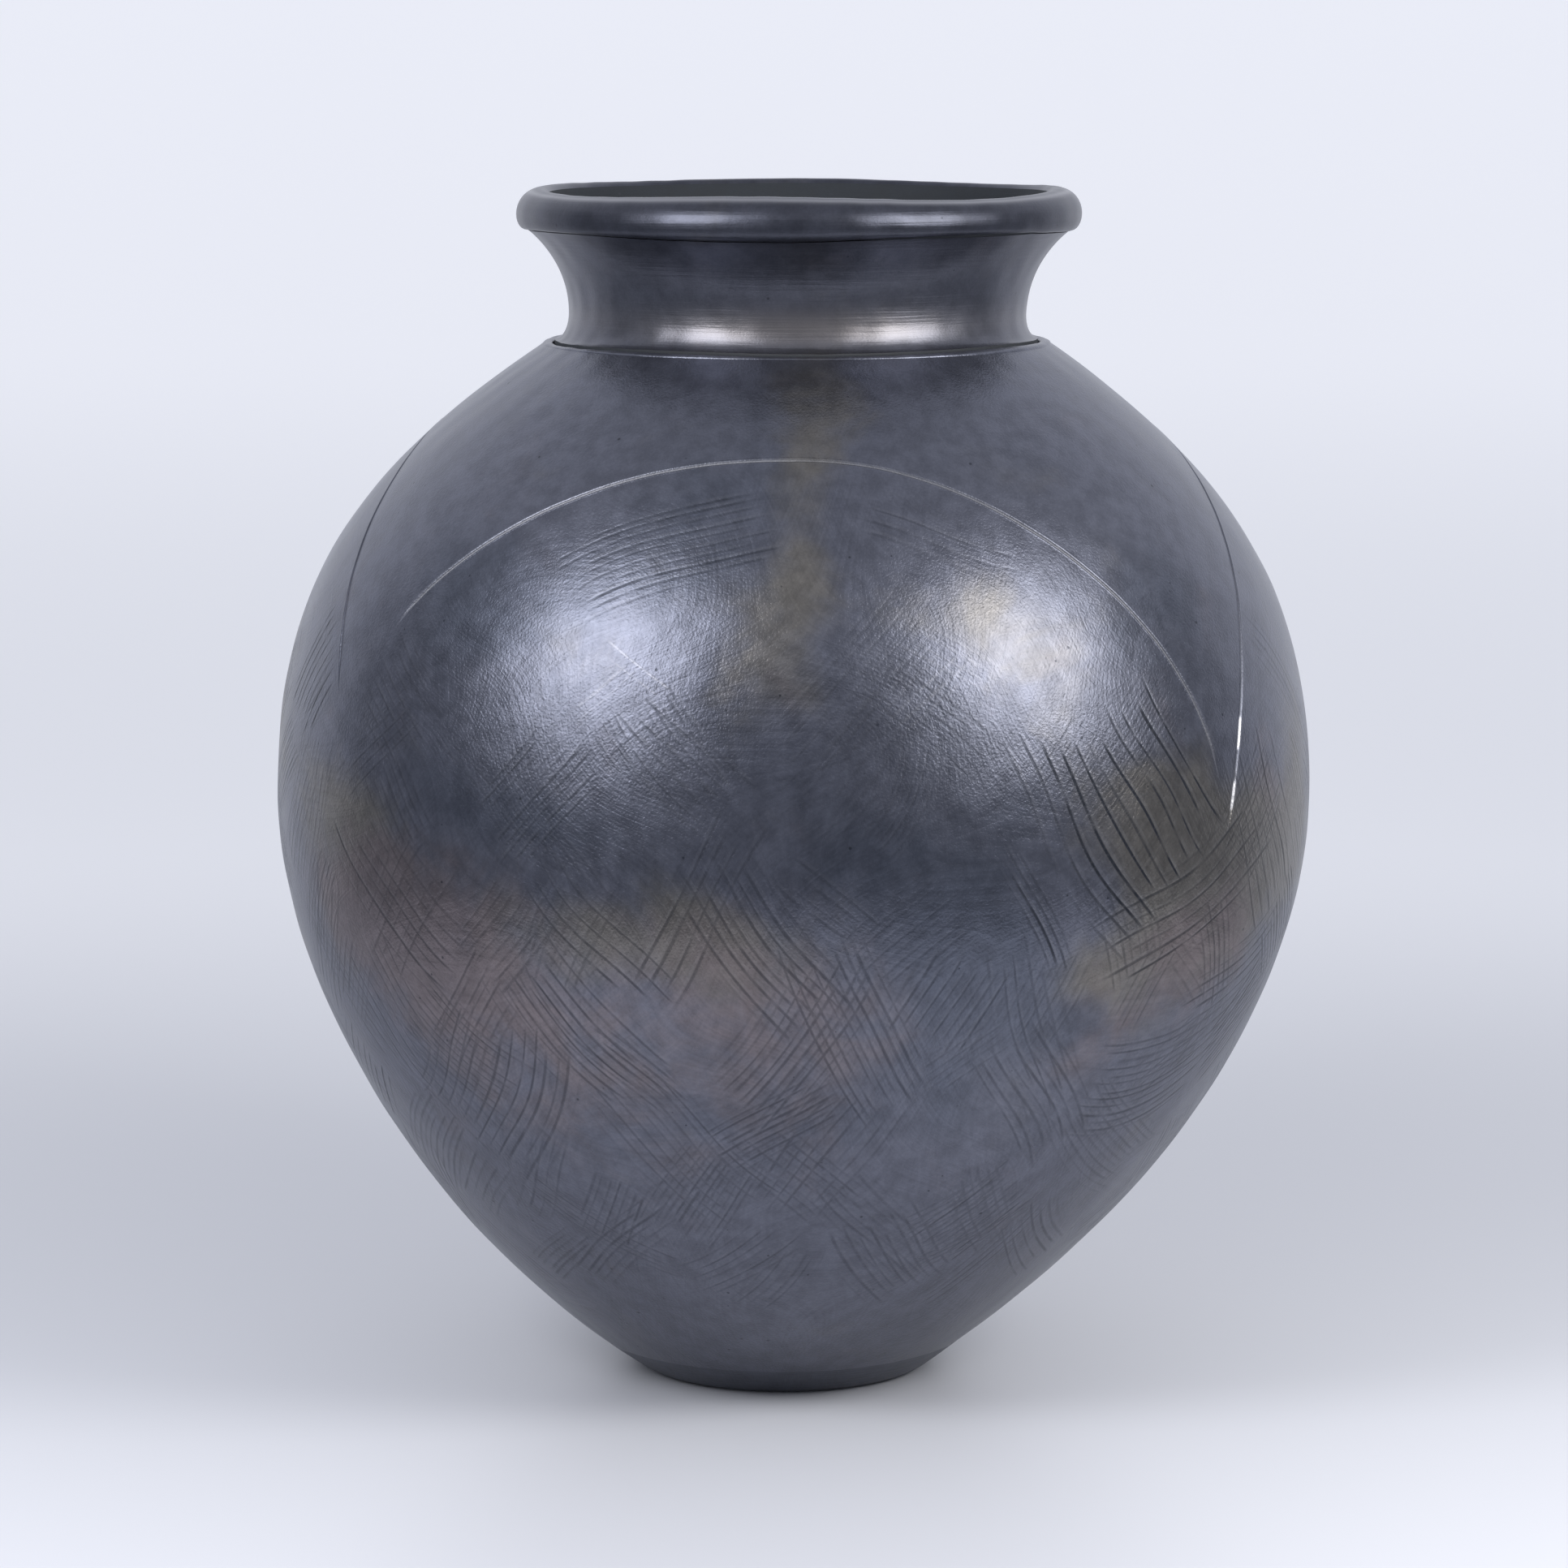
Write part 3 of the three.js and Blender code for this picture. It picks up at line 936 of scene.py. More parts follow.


# %% [markdown]
# ## Burnishing strokes as a node group
#
# The stone leaves a dark line at the edge of each stroke, with a low burr beside it. The burr is
# raised and also painted paler, as painted highlight. The group reads how many strokes across a place
# lies. The whole part of that number tells the strokes apart, and white noise gives each its own
# place, width, pressure and length, so no two lines are alike. Between the lines the stone's rough
# face leaves fine streaks: noise, drawn out along the stroke. A bundle with a pressure below zero
# draws bright lines: ridges that are also painted paler, as painted highlight.

# %% Group: burnish strokes
LINE_PLACE, LINE_SPREAD, LINE_EDGE, BURR_BESIDE = (0.3, 0.35), (0.5, 0.75), 0.25, 1.5
STROKE_END, STROKE_SHIFT, STROKE_FADE = (0.35, 0.75), (0.24, -0.12), 0.25
LIFT_SPACING, LIFTED, FORCE = 3.0, (0.3, 0.55, 0.4, 1.0), (0.55, 0.45)
SCRATCH_LIGHT = -3.0
FINE_ACROSS, FINE_ALONG, MOST_FINE = 1.3, 9.0, 0.6
SHUFFLE_STROKES = 7.31


def stroke_marks(wires, given):
    across, ahead, pressure = wires.parts(given["Reading"])[:3]
    number = wires.math("FLOOR", across)
    chance = wires.node("ShaderNodeTexWhiteNoise", {"W": number}, noise_dimensions="1D").outputs
    first, second, third = wires.node("ShaderNodeSeparateColor", {0: chance["Color"]}).outputs[:3]
    middle = wires.times_plus(first, *LINE_PLACE)
    away = wires.math("SUBTRACT", wires.math("FRACT", across), middle)
    width = wires.math("DIVIDE", given["Line Width"], given["Spacing"])
    width = wires.times(width, wires.times_plus(second, *LINE_SPREAD))
    start = wires.times(width, LINE_EDGE)
    line = wires.ramp(wires.math("ABSOLUTE", away), start, width, 1.0, 0.0)
    beside = wires.math("ABSOLUTE", wires.math("SUBTRACT", away, wires.times(width, BURR_BESIDE)))
    burr = wires.ramp(beside, start, width, 1.0, 0.0)

    end = wires.times_plus(third, *STROKE_END)
    shift = wires.times_plus(first, *STROKE_SHIFT)
    along = wires.math("ABSOLUTE", wires.math("ADD", ahead, shift))
    reach = wires.ramp(along, wires.math("SUBTRACT", end, STROKE_FADE), end, 1.0, 0.0)
    grip = wires.join(x=wires.times(ahead, LIFT_SPACING), y=number)
    lifted = wires.ramp(wires.noise(grip, 1.0, 1.0), *LIFTED)
    force = wires.times_plus(wires.math("FRACT", wires.times(second, SHUFFLE_STROKES)), *FORCE)
    strength = wires.times(wires.times(wires.times(reach, lifted), force), pressure)
    dark = wires.times(line, strength)
    light = wires.math("MAXIMUM", wires.times(burr, strength), wires.times(dark, SCRATCH_LIGHT))

    rows = wires.times(across, wires.times(given["Spacing"], FINE_ACROSS))
    fine = wires.noise(wires.join(x=rows, y=wires.times(ahead, FINE_ALONG)), 1.0, 2.0)
    fine = wires.times(wires.math("SUBTRACT", fine, 0.5), wires.math("MINIMUM", pressure, MOST_FINE))
    return dark, light, fine


stroke_inputs = {"Reading": VECTOR, "Spacing": 3.0, "Line Width": 0.5}
add_group("burnish strokes", stroke_inputs, ("Dark", "Light", "Fine"), stroke_marks)

# %% [markdown]
# ## Hatching, grain and level marks
#
# Three finer effects go over everything. Hatching is left by the first rough rubbing, at a slant one
# way and the other, so its noise is read in coordinates that wind round the pot like a screw thread:
# along the thread it changes slowly, across it fast. Grain is the tooth that the stone didn't close.
# Level marks were left by a wet leather held against the turning neck.

# %% Groups: hatching, clay grain and level marks
MOTTLE_FINENESS = 150.0
PIT_SIZE, PIT_EDGE, SHUFFLE_PITS = (0.14, 0.06), 0.4, 57.0
LEVEL_STRETCH = 0.03


def hatching(wires, given):
    x, y, z = wires.parts(given["Thread"])[:3]
    thread = wires.join(x=x, y=y, z=wires.times(z, given["Length"]))
    value = wires.noise(thread, given["Fineness"], 2.0, 0.5)
    return [wires.math("SUBTRACT", value, 0.5)]


def clay_grain(wires, given):
    tooth = wires.noise(given["Place"], given["Fineness"], 2.0, 0.6)
    mottle = wires.noise(given["Place"], MOTTLE_FINENESS, 3.0, 0.6)
    spaced = {"Vector": given["Place"], "Scale": given["Pit Spacing"]}
    cells = wires.node("ShaderNodeTexVoronoi", spaced).outputs
    chosen = wires.node("ShaderNodeSeparateColor", {0: cells["Color"]}).outputs[0]
    there = wires.math("LESS_THAN", chosen, given["Pit Share"])
    chance = wires.math("FRACT", wires.times(chosen, SHUFFLE_PITS))
    size = wires.times_plus(chance, *PIT_SIZE)
    pit = wires.ramp(cells["Distance"], wires.times(size, PIT_EDGE), size, 1.0, 0.0)
    return wires.math("SUBTRACT", tooth, 0.5), wires.times(pit, there), mottle


def level_marks(wires, given):
    x, y, z = wires.parts(given["Place"])[:3]
    stretched = wires.join(x=wires.times(x, LEVEL_STRETCH), y=wires.times(y, LEVEL_STRETCH), z=z)
    value = wires.noise(stretched, given["Fineness"], 2.0, 0.6)
    return [wires.math("SUBTRACT", value, 0.5)]


grain_inputs = {"Place": VECTOR, "Fineness": 1300.0, "Pit Spacing": 260.0, "Pit Share": 0.1}
add_group("hatching", {"Thread": VECTOR, "Fineness": 620.0, "Length": 0.1}, ["Height"], hatching)
add_group("clay grain", grain_inputs, ["Height", "Pits", "Mottle"], clay_grain)
add_group("level marks", {"Place": VECTOR, "Fineness": 900.0}, ["Height"], level_marks)

# %% [markdown]
# ## Smoke colour as a node group
#
# The group starts from slate and lays olive, rust and soot over it. It reads how much of each a place
# has, adds slow noise, and lets a threshold fray the edges. Colours are mixed, not added, so no
# patch can grow brighter than the clay it is made of.

# %% Group: smoke colour
CLOUDS = {"Olive": (34.0, 0.9), "Rust": (42.0, 0.85), "Soot": (28.0, 0.85)}
FRAY, SMOKE_STARTS, SMOKE_FULL = 1.3, 0.1, 0.85


def smoke_colour(wires, given):
    colour = given["Slate"]
    for amount, (name, (scale, most)) in zip(wires.parts(given["Amounts"]), CLOUDS.items()):
        cloud = wires.noise(given["Place"], scale, 4.0, 0.6, Distortion=0.5)
        fray = wires.times(wires.math("SUBTRACT", cloud, 0.5), FRAY)
        share = wires.ramp(wires.math("ADD", amount, fray), SMOKE_STARTS, SMOKE_FULL, 0.0, most)
        colour = wires.mix(share, colour, given[name])
    return [colour]


smoke_inputs = {"Amounts": VECTOR, "Place": VECTOR, **dict.fromkeys(("Slate", *CLOUDS), COLOUR)}
add_group("smoke colour", smoke_inputs, ["Color"], smoke_colour)

# %% [markdown]
# ## The burnished body
#
# Burnished and smoked clay shines like soft metal, because its surface is packed flat and full of
# fine carbon. A part-metal shader gives that sheen its colour. The clean way to weather it would be
# painted maps, but procedural marks stay sharp at any distance. Colour, gloss and relief all read the
# same masks, so that a dark line is also a dull line and a groove.

# %% Finish of the body
SLATE = (0.127, 0.134, 0.168, 1)
OLIVE_SMOKE = (0.170, 0.159, 0.143, 1)
RUST_SMOKE = (0.174, 0.146, 0.150, 1)
SOOT_SMOKE = (0.088, 0.098, 0.128, 1)
NECK_SLATE = (0.098, 0.103, 0.129, 1)
# The rim is drawn darker than the neck, as painted shade that holds back the bright room's reflection
# on top of the rim.
RIM_SLATE = (0.064, 0.068, 0.088, 1)
FOOT_SLATE = (0.098, 0.105, 0.130, 1)
INSIDE = (0.012, 0.0155, 0.021, 1)
# Pale colour of the burrs, the bright stroke lines, the rim's crest and the pale grooves: mostly
# painted highlight, partly pale clay in the grooves.
SCRAPED_AND_HIGHLIGHT = (0.42, 0.42, 0.44, 1)
# The neck's foot band: partly its brownish tint, partly painted highlight.
BAND_TINT_AND_HIGHLIGHT = (0.235, 0.218, 0.215, 1)
SHADOW_LINE = (0.022, 0.025, 0.033, 1)
STREAK_TONE, GRAIN_TONE = 0.3, 0.3
MOTTLE_TONE = (0.3, 0.7, 0.88, 1.12)
MOTTLE_DULL = 0.12
LINE_WIDTH = 0.6
BURR_RISE = 0.4
GROUND_HATCH = 0.7
COAT_ROUGHNESS = 0.25


def new_material(name, metallic, roughness):
    """A material whose shader is ready for links, and the wiring to build it with."""
    material = bpy.data.materials.new(name)
    material.use_nodes = True
    shader = material.node_tree.nodes["Principled BSDF"]
    shader.inputs["Metallic"].default_value = metallic
    shader.inputs["Roughness"].default_value = roughness
    return material, shader, Wiring(material.node_tree)


def all_strokes(wires):
    """The strokes of every layer together: dark lines, bright burrs and fine streaks."""
    totals = [0.0, 0.0, 0.0]
    for layer in range(LAYERS):
        read = wires.node("ShaderNodeAttribute", attribute_name=f"stroke_{layer}").outputs
        reading = {"Reading": read["Vector"], "Spacing": read["Alpha"], "Line Width": LINE_WIDTH}
        laid = wires.group("burnish strokes", reading)
        joined = (("MAXIMUM", "Dark"), ("MAXIMUM", "Light"), ("ADD", "Fine"))
        totals = [wires.math(how, total, laid[name]) for total, (how, name) in zip(totals, joined)]
    return totals


def burnish(
    name, slate, roughness, metallic=0.9, stroke_depth=0.05, grain_height=0.1, hatch_height=0.06,
    level_height=0.0, coat=0.0, tints=(OLIVE_SMOKE, RUST_SMOKE, SOOT_SMOKE),
):
    """The burnished, smoked finish. Heights are in millimetres, and the tints are those of the smoke.
    Each mark is laid over the colour, the gloss and the relief by how much of it shows there."""
    material, shader, wires = new_material(name, metallic, roughness)
    link = wires.tree.links.new
    shader.inputs["Coat Weight"].default_value = coat
    shader.inputs["Coat Roughness"].default_value = COAT_ROUGHNESS
    place = wires.node("ShaderNodeTexCoord").outputs["Object"]
    smoke = {"Amounts": wires.attribute("smoke"), "Place": place, "Slate": slate}
    smoke.update(zip(CLOUDS, tints))
    colour = wires.group("smoke colour", smoke)["Color"]
    grain = wires.group("clay grain", {"Place": place})
    cut, pale, ground = wires.parts(wires.attribute("incision"))[:3]
    crest, band = wires.parts(wires.attribute("wear"))[:2]
    dark, light, fine = all_strokes(wires) if stroke_depth else (0.0, 0.0, 0.0)
    threads = [{"Thread": wires.attribute(f"weave_{way}")} for way in ("up", "down")]
    hatch = wires.math("ADD", *[wires.group("hatching", thread)["Height"] for thread in threads])
    hatch = wires.times(hatch, wires.times_plus(ground, -GROUND_HATCH, 1.0))
    streaks = wires.math("ADD", hatch, fine)

    tone = wires.times_plus(streaks, STREAK_TONE, 1.0)
    tone = wires.times_plus(grain["Height"], GRAIN_TONE, tone)
    tone = wires.times(tone, wires.ramp(grain["Mottle"], *MOTTLE_TONE))
    toned = {0: colour, "Scale": tone}
    colour = wires.node("ShaderNodeVectorMath", toned, operation="SCALE").outputs[0]
    for mask, most, tint in (
        # The burrs and bright stroke lines are painted paler, as painted highlight.
        (dark, 0.85, SHADOW_LINE), (light, 0.1, SCRAPED_AND_HIGHLIGHT), (grain["Pits"], 0.7, SHADOW_LINE),
        # Painted highlights: the rim's crest line, and the neck's foot band, which is also partly tint.
        (crest, 0.5, SCRAPED_AND_HIGHLIGHT), (band, 0.8, BAND_TINT_AND_HIGHLIGHT),
        # The groove's line: pale as pale clay and painted highlight, dark as painted shade in the
        # groove.
        (cut, wires.times(pale, 0.8), SCRAPED_AND_HIGHLIGHT),
        (cut, wires.times_plus(pale, -0.9, 0.9), SHADOW_LINE),
    ):
        colour = wires.mix(wires.times(mask, most), colour, tint)
    link(colour, shader.inputs["Base Color"])

    dull = wires.times_plus(grain["Mottle"], MOTTLE_DULL, roughness - MOTTLE_DULL / 2)
    for mask, dulled in ((dark, 0.2), (cut, 0.3)):
        dull = wires.times_plus(mask, dulled, dull)
    link(dull, shader.inputs["Roughness"])

    relief = wires.times(grain["Height"], grain_height)
    raised = [(streaks, hatch_height), (dark, -stroke_depth), (light, BURR_RISE * stroke_depth)]
    if level_height:
        raised.append((wires.group("level marks", {"Place": place})["Height"], level_height))
    for mask, height in raised:
        relief = wires.times_plus(mask, height, relief)
    bump = wires.node("ShaderNodeBump", {"Strength": 1.0, "Distance": MM, "Height": relief})
    link(bump.outputs["Normal"], shader.inputs["Normal"])
    return material


turned_marks = dict(
    stroke_depth=0.0, grain_height=0.03, hatch_height=0.015, level_height=0.09, coat=0.15
)
foot_marks = dict(stroke_depth=0.0, grain_height=0.02, hatch_height=0.015, level_height=0.12)
inside_marks = dict(stroke_depth=0.0, grain_height=0.05, hatch_height=0.0, level_height=0.12)
burnished_body = burnish("burnished body", SLATE, 0.3)
burnished_neck = burnish("burnished neck", NECK_SLATE, 0.34, **turned_marks)
burnished_rim = burnish("burnished rim", RIM_SLATE, 0.34, **turned_marks)
foot_clay = burnish("foot clay", FOOT_SLATE, 0.42, 0.85, **foot_marks)
inside_clay = burnish("inside clay", INSIDE, 0.8, 0.0, tints=(INSIDE,) * 3, **inside_marks)
print("finishes:", [material.name for material in bpy.data.materials])

# %% [markdown]
# ## The pieces of the wall
#
# The pot was raised in rounds of clay, each lapped on the last with a slanting face called a scarf.
# On the finished pot the burnish hides every joint, so neighbours meet with no gap on the outside.

# %% Base dish and courses
FLOOR_THICKNESS = 11 * MM
FLOOR_CORNER_REACH = 11 * MM
BASE_WALL_LENGTH = 17 * MM
FOOT_EDGE_EASE = 3.5 * MM
STANDING_RING_WIDTH = 10.5 * MM
TAPPED_HOLLOW_DEPTH = 1.6 * MM
SCARF_LAP = 8 * MM
OUTER_ROW, INNER_ROW, UNDER_ROWS = 2 * MM, 5 * MM, 24
COURSES = [f"{part}_course_{number}" for part in ("lower", "belly", "shoulder") for number in (1, 2)]
COURSE_LENGTH = (wall.length - BASE_WALL_LENGTH) / len(COURSES)


def rows_for(length, row):
    return max(1, round(length / row))


def scarf(number):
    """Where the joint below a course meets the outer and the inner face."""
    outside = BASE_WALL_LENGTH + number * COURSE_LENGTH
    return outside, outside + (SCARF_LAP if outside < belly_distance else -SCARF_LAP)


def base_runs():
    """The dish that the pot was started from, with its tapped-up middle and its standing ring."""
    joint, joint_inside = scarf(0)
    ring_inner = FOOT_RADIUS - FOOT_EDGE_EASE - STANDING_RING_WIDTH
    under = Line(
        bezier((0, TAPPED_HOLLOW_DEPTH), (ring_inner / 2, TAPPED_HOLLOW_DEPTH), (ring_inner, 0)),
        np.array([(ring_inner, 0), (FOOT_RADIUS - FOOT_EDGE_EASE, 0)]),
        bezier((FOOT_RADIUS - FOOT_EDGE_EASE, 0), foot_corner, wall_point(FOOT_EDGE_EASE)),
    )
    inner_top = wall_point(joint_inside, WALL)
    corner = (wall_point(FLOOR_CORNER_REACH, WALL)[0], FLOOR_THICKNESS)
    floor_edge = (FOOT_RADIUS - FLOOR_CORNER_REACH, FLOOR_THICKNESS)
    across_floor = np.array([floor_edge, (0, FLOOR_THICKNESS)])
    inside = Line(bezier(inner_top, corner, floor_edge), across_floor)
    return [
        whole(under, UNDER_ROWS, OUTER),
        Run(wall, FOOT_EDGE_EASE, joint, rows_for(joint - FOOT_EDGE_EASE, OUTER_ROW), OUTER),
        straight(wall_point(joint), inner_top),
        whole(inside, rows_for(inside.length, INNER_ROW), INNER),
    ]


def course_runs(number):
    """One round of clay between two scarf joints."""
    (low, low_inside), (high, high_inside) = scarf(number), scarf(number + 1)
    inner_face = Line(wall_run(high_inside, low_inside, WALL))
    return [
        Run(wall, low, high, rows_for(high - low, OUTER_ROW), OUTER),
        straight(wall_point(high), wall_point(high_inside, WALL)),
        whole(inner_face, rows_for(inner_face.length, INNER_ROW), INNER),
        straight(wall_point(low_inside, WALL), wall_point(low)),
    ]


body_finish = (burnished_body, inside_clay)
add_piece("foot_dish", "base_dish", base_runs(), (foot_clay, inside_clay))
for number, node in enumerate(COURSES[:-1]):
    name = node.replace("course", "round")
    add_piece(name, node, course_runs(number), body_finish)

# %% [markdown]
# ## The shoulder, the neck and the rim
#
# The last round ends in a thin bead with a ledge behind it, and the neck stands in that ledge. The
# hairline between them stays open, because on the pot it is a dark seam. The same holds for the
# crease under the rolled rim.

# %% Shoulder's edge, neck and rim
SLIP_GAP = 0.3 * MM
BEAD_WIDTH, BEAD_HEIGHT, BEAD_ROWS = 3.6 * MM, 1 * MM, 8
LEDGE_DEPTH, LEDGE_EDGE = 1.5 * MM, 2.5 * MM
COLLAR_FOOT_RISE = 1.6 * MM
WAIST_INSET, WAIST_RISE = 4.2 * MM, 9.1 * MM
NECK_FLARE, NECK_RISE, NECK_FLARE_ANGLE = 12.1 * MM, 25 * MM, 38
NECK_THICKNESS, NECK_LIP_THICKNESS = 7 * MM, 9.3 * MM
MOUTH_ANGLE = 68
RIM_HEIGHT, RIM_WIDEST_HEIGHT = 11.7 * MM, 4.4 * MM
RIM_OVERHANG, RIM_CREASE_OVERHANG = 3.6 * MM, 0.9 * MM
RIM_CREST_INSET = 7 * MM
LIP_WIDTH = 2.5 * MM
FINE_ROW, RIM_ROW, SEAT_ROWS = 0.8 * MM, 0.5 * MM, 6

inner_end = wall_point(wall.length, WALL)
dome_slope = math.tan(math.radians(SHOULDER_SLOPE))
ledge_height = SHOULDER_HEIGHT - LEDGE_DEPTH
ledge_outer = SHOULDER_RADIUS - BEAD_WIDTH
ledge_inner = inner_end[0] - (ledge_height - LEDGE_EDGE - inner_end[1]) / dome_slope
waist = (ledge_outer - WAIST_INSET, SHOULDER_HEIGHT + WAIST_RISE)
crease = (waist[0] + NECK_FLARE, waist[1] + NECK_RISE)
mouth = (crease[0] - NECK_LIP_THICKNESS, crease[1])


def inner_dome(radius):
    """The inner face carried on inwards past the shoulder."""
    return (radius, inner_end[1] + (inner_end[0] - radius) * dome_slope)


def shoulder_edge_runs(number):
    """The last round, with the bead and the ledge."""
    low, low_inside = scarf(number)
    bead_middle = (SHOULDER_RADIUS - BEAD_WIDTH / 2, SHOULDER_HEIGHT)
    bead = Line(ellipse_arc(bead_middle, (BEAD_WIDTH / 2, BEAD_HEIGHT), 0, 180))
    dome = np.array([inner_dome(ledge_inner), inner_end])
    inner_face = Line(dome, wall_run(wall.length, low_inside, WALL))
    return [
        Run(wall, low, wall.length, rows_for(wall.length - low, OUTER_ROW), OUTER),
        whole(bead, BEAD_ROWS, OUTER),
        straight((ledge_outer, SHOULDER_HEIGHT), (ledge_outer, ledge_height)),
        straight((ledge_outer, ledge_height), (ledge_inner, ledge_height)),
        straight((ledge_inner, ledge_height), inner_dome(ledge_inner)),
        whole(inner_face, rows_for(inner_face.length, INNER_ROW), INNER),
        straight(wall_point(low_inside, WALL), wall_point(low)),
    ]


def neck_runs():
    """The collar: a hollow sweep up from the ledge, then the flare, and the bore inside it."""
    foot_outer, foot_top = ledge_outer - SLIP_GAP, SHOULDER_HEIGHT + COLLAR_FOOT_RISE
    spigot_outer = ledge_inner - SLIP_GAP
    waist_inner = (waist[0] - NECK_THICKNESS, waist[1])
    half_way = waist[1] + NECK_RISE / 2
    under_crease = along(crease, NECK_FLARE_ANGLE + 180, NECK_FLARE / 2)
    under_mouth = along(mouth, MOUTH_ANGLE + 180, NECK_RISE / 3)
    bore_foot = (waist_inner[0], foot_top + NECK_THICKNESS / 2)
    outside = Line(
        ellipse_arc((foot_outer, waist[1]), (foot_outer - waist[0], waist[1] - foot_top), -90, -90),
        bezier(waist, (waist[0], half_way), under_crease, crease),
    )
    bore = Line(
        bezier(mouth, under_mouth, (waist_inner[0], half_way), waist_inner),
        bezier(bore_foot, inner_dome(waist_inner[0]), inner_dome(spigot_outer)),
    )
    foot_height = ledge_height + SLIP_GAP
    return [
        whole(outside, rows_for(outside.length, FINE_ROW), OUTER),
        straight(crease, mouth),
        whole(bore, rows_for(bore.length, OUTER_ROW), OUTER, dull=True),
        straight(inner_dome(spigot_outer), (spigot_outer, foot_height)),
        straight((spigot_outer, foot_height), (foot_outer, foot_height)),
        straight((foot_outer, foot_height), (foot_outer, foot_top)),
    ]


def rim_runs():
    """The coil that was rolled over the neck's edge, flat where it sits."""
    seat = crease[1] + SLIP_GAP
    widest = (crease[0] + RIM_OVERHANG, seat + RIM_WIDEST_HEIGHT)
    crest = (widest[0] - RIM_CREST_INSET, seat + RIM_HEIGHT)
    seat_outer, seat_inner = crease[0] + RIM_CREASE_OVERHANG, (mouth[0], seat)
    half_in = ((crest[0] + seat_inner[0]) / 2, crest[1])
    over_seat = along(seat_inner, MOUTH_ANGLE, RIM_HEIGHT / 2)
    roll = Line(
        ellipse_arc((seat_outer, widest[1]), (widest[0] - seat_outer, widest[1] - seat), -90, 90),
        ellipse_arc((crest[0], widest[1]), (widest[0] - crest[0], crest[1] - widest[1]), 0, 90),
        bezier(crest, half_in, over_seat, seat_inner),
    )
    lip = roll.distance[2 * ARC_STEPS] + LIP_WIDTH
    return [
        Run(roll, 0, lip, rows_for(lip, RIM_ROW), OUTER),
        Run(roll, lip, roll.length, rows_for(roll.length - lip, FINE_ROW), OUTER, dull=True),
        straight(seat_inner, (seat_outer, seat), SEAT_ROWS),
    ]


edge_runs = shoulder_edge_runs(len(COURSES) - 1)
add_piece("shoulder_edge", COURSES[-1], edge_runs, body_finish)
add_piece("neck", "neck_collar", neck_runs(), (burnished_neck, inside_clay))
add_piece("rolled_rim", "rim_coil", rim_runs(), (burnished_rim, inside_clay))

# %% [markdown]
# ## The studio
#
# A plain pale floor, and two large soft lamps above and in front of the pot, left and right. A
# burnished pot is a dark mirror, so what is seen in it matters more than how much light falls on it:
# the lamps are the two bright clouds on its shoulder, the floor is the sheen low down, and a dark
# screen round the camera's side, which the camera can't see, is the dark belt round the belly.

# %% Floor, room and lamps
FLOOR_SIZE, FLOOR_CORNERS = 80, 128
FLOOR_COLOUR, FLOOR_ROUGHNESS = (0.598, 0.61, 0.65, 1), 0.4
FAR_GLOW = (0.32, 0.323, 0.338, 1)
GLOW_NEAR, GLOW_FAR = (0.2, 1.1, 0.0, 0.75), (1.1, 4.8, 0.0, 0.32)
ROOM_COLOUR = (0.50, 0.515, 0.57, 1)
BRIGHT_SIDE = (0.1, 0.7, 1.0, 1.6)
SCREEN_COLOUR = (0.22, 0.237, 0.28, 1)
SCREEN_RADIUS, SCREEN_HEIGHT, SCREEN_NEAR, SCREEN_TURN, SCREEN_STEPS = 2.3, 1.3, 0.5, 112, 56
LAMP_DISTANCE, CORE_SHARE = 0.6, 0.6
LAMP_LEFT = dict(
    wide=0.39, high=0.44, mirrored_at=(-55, -136, 235), towards=(-0.645, -0.575, 0.545),
    edge_glow=2.6, core_glow=14.0, colour=(1.0, 1.0, 1.02),
)
LAMP_RIGHT = dict(
    wide=0.46, high=0.44, mirrored_at=(61, -134, 233), towards=(0.750, -0.452, 0.468),
    edge_glow=2.4, core_glow=16.0, colour=(1.0, 0.985, 0.965),
)


def build_floor():
    """A large pale floor. Far from the pot it glows a little, where the lamps no longer reach."""
    bpy.ops.mesh.primitive_circle_add(vertices=FLOOR_CORNERS, radius=FLOOR_SIZE, fill_type="NGON")
    floor = bpy.context.object
    floor.name = "floor"
    material, shader, wires = new_material("floor", 0.0, FLOOR_ROUGHNESS)
    shader.inputs["Base Color"].default_value = FLOOR_COLOUR
    path = wires.node("ShaderNodeLightPath").outputs
    seen = 0.0
    for ray in ("Camera", "Glossy", "Transmission"):
        seen = wires.math("MAXIMUM", seen, path[f"Is {ray} Ray"])
    place = wires.node("ShaderNodeTexCoord").outputs["Object"]
    away = wires.node("ShaderNodeVectorMath", {0: place}, operation="LENGTH").outputs["Value"]
    glow = wires.math("ADD", wires.ramp(away, *GLOW_NEAR), wires.ramp(away, *GLOW_FAR))
    glow = wires.times(seen, glow)
    shader.inputs["Emission Color"].default_value = FAR_GLOW
    wires.tree.links.new(glow, shader.inputs["Emission Strength"])
    floor.data.materials.append(material)


def build_room():
    """A plain room, brighter on the side behind the pot."""
    world = bpy.data.worlds.new("room")
    bpy.context.scene.world = world
    world.use_nodes = True
    wires = Wiring(world.node_tree)
    background = world.node_tree.nodes["Background"]
    background.inputs["Color"].default_value = ROOM_COLOUR
    y = wires.parts(wires.node("ShaderNodeTexCoord").outputs["Generated"])[1]
    wires.tree.links.new(wires.ramp(y, *BRIGHT_SIDE), background.inputs["Strength"])


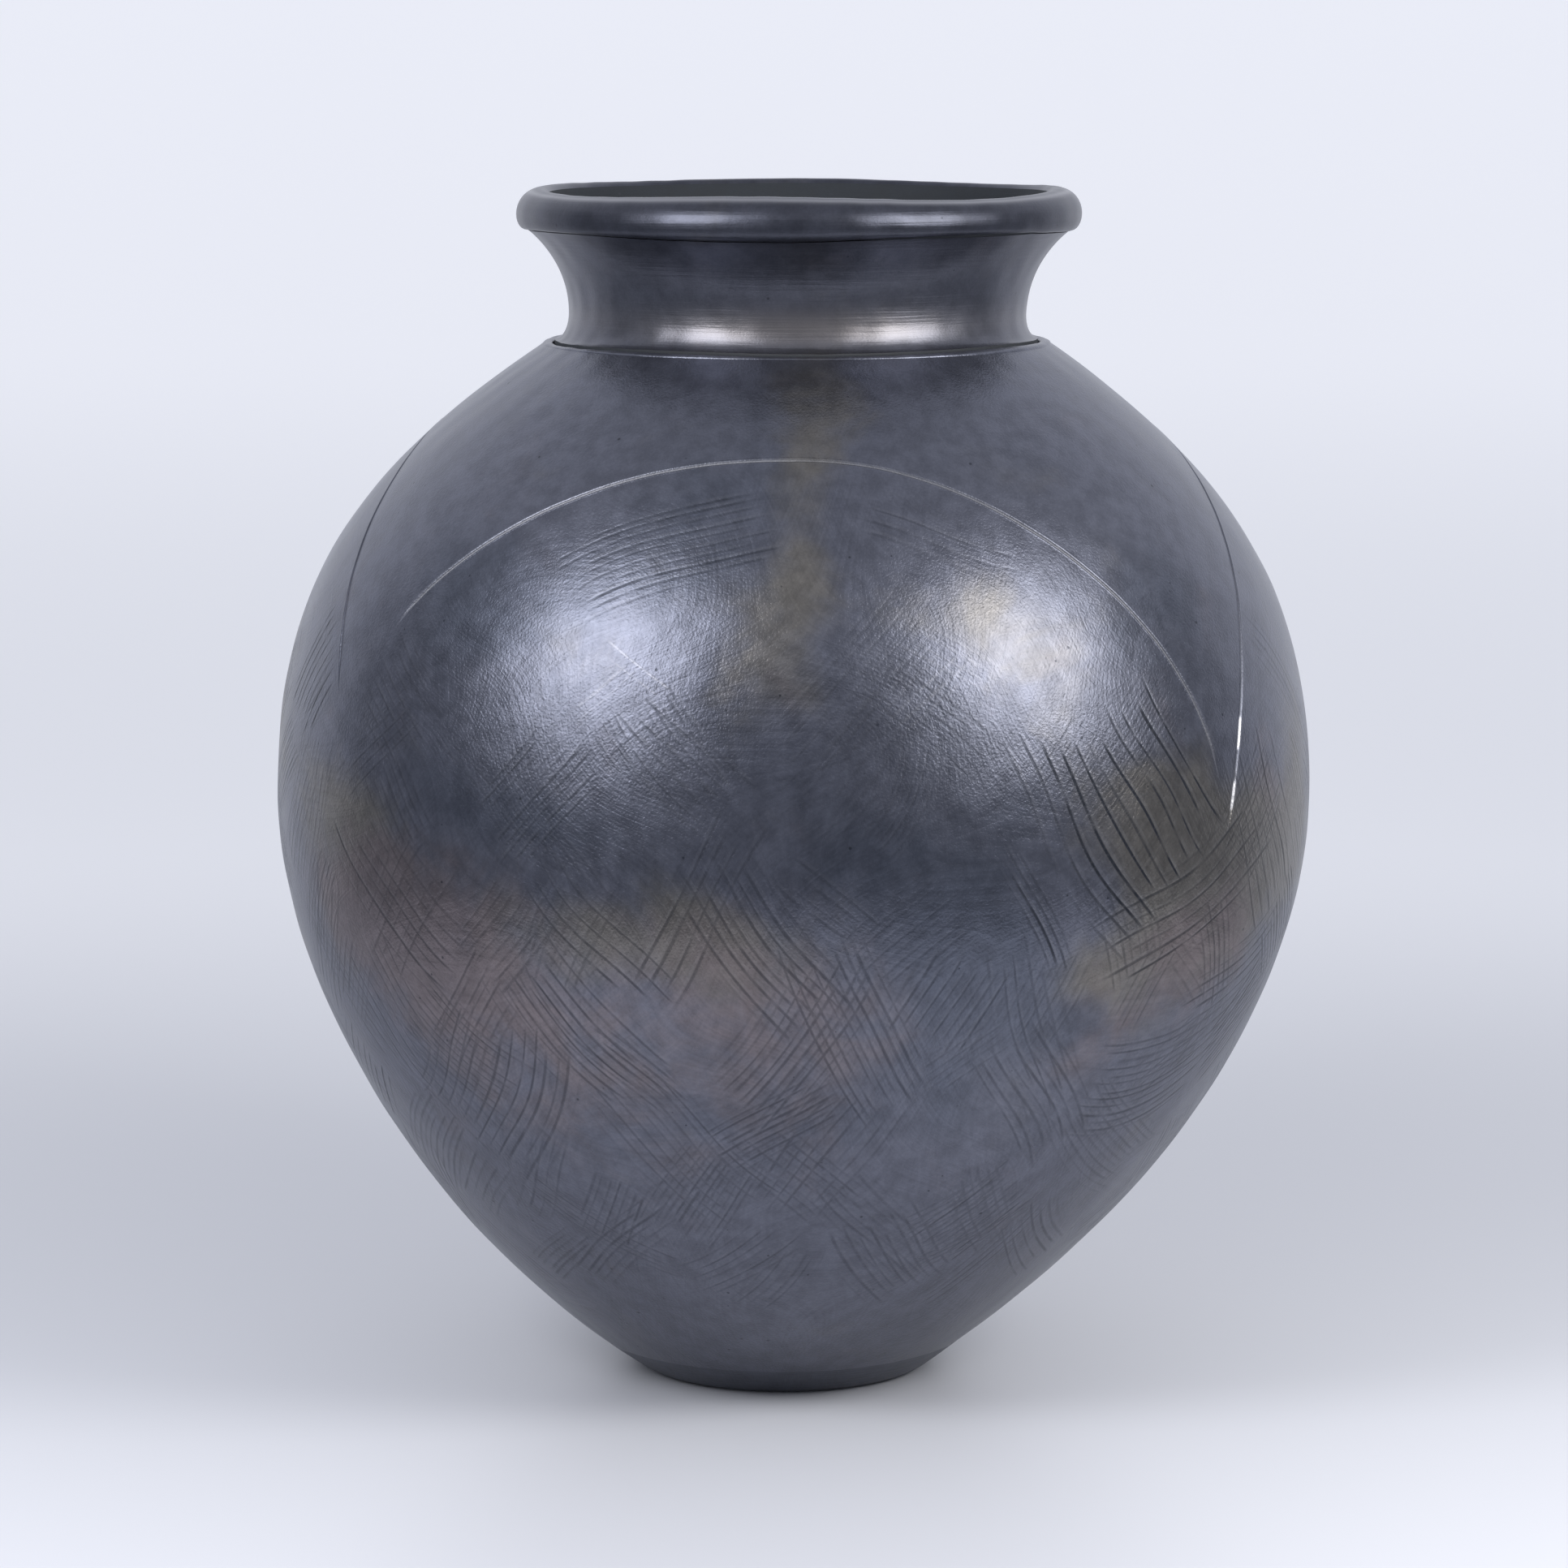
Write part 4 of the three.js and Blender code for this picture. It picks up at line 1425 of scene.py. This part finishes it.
def build_screen():
    """A dark screen round the camera's side. Only the shine on the pot shows it."""
    angles = np.radians(np.linspace(-SCREEN_TURN, SCREEN_TURN, SCREEN_STEPS + 1))
    rings = ((SCREEN_NEAR, MM), (SCREEN_RADIUS, MM), (SCREEN_RADIUS, SCREEN_HEIGHT))
    points = [(r * math.sin(a), -r * math.cos(a), z) for r, z in rings for a in angles]
    count = len(angles)
    faces = [
        (ring * count + k, ring * count + k + 1, (ring + 1) * count + k + 1, (ring + 1) * count + k)
        for ring in range(len(rings) - 1)
        for k in range(count - 1)
    ]
    mesh = bpy.data.meshes.new("dark screen")
    mesh.from_pydata(points, [], faces)
    screen = bpy.data.objects.new("dark_screen", mesh)
    bpy.context.scene.collection.objects.link(screen)
    material, shader, wires = new_material("dark screen", 0.0, 1.0)
    shader.inputs["Base Color"].default_value = (0, 0, 0, 1)
    shader.inputs["Emission Color"].default_value = SCREEN_COLOUR
    shader.inputs["Emission Strength"].default_value = 1.0
    mesh.materials.append(material)
    screen.visible_camera = screen.visible_diffuse = screen.visible_shadow = False


def add_lamp(name, wide, high, mirrored_at, towards, edge_glow, core_glow, colour):
    """A soft box whose middle is mirrored at a place on the belly, in millimetres. It is brightest in
    its middle, so it is two lamps, a small one within a large one."""
    way = np.array(towards) / np.linalg.norm(towards)
    edge = ("edge", "RECTANGLE", 1, 1, edge_glow)
    core = ("core", "ELLIPSE", CORE_SHARE, math.pi / 4, core_glow)
    for part, shape, share, fills, glow in (edge, core):
        data = bpy.data.lights.new(f"{name} {part}", "AREA")
        data.shape = shape
        data.size, data.size_y = wide * share, high * share
        data.energy = glow * math.pi * data.size * data.size_y * fills
        data.color = colour
        lamp = bpy.data.objects.new(data.name, data)
        lamp.location = np.array(mirrored_at) * MM + way * LAMP_DISTANCE
        lamp.rotation_euler = Vector(-way).to_track_quat("-Z", "Y").to_euler()
        lamp.visible_camera = False
        bpy.context.scene.collection.objects.link(lamp)


build_floor()
build_room()
build_screen()
add_lamp("left lamp", **LAMP_LEFT)
add_lamp("right lamp", **LAMP_RIGHT)
print("lamps:", sorted(light.name for light in bpy.data.lights))
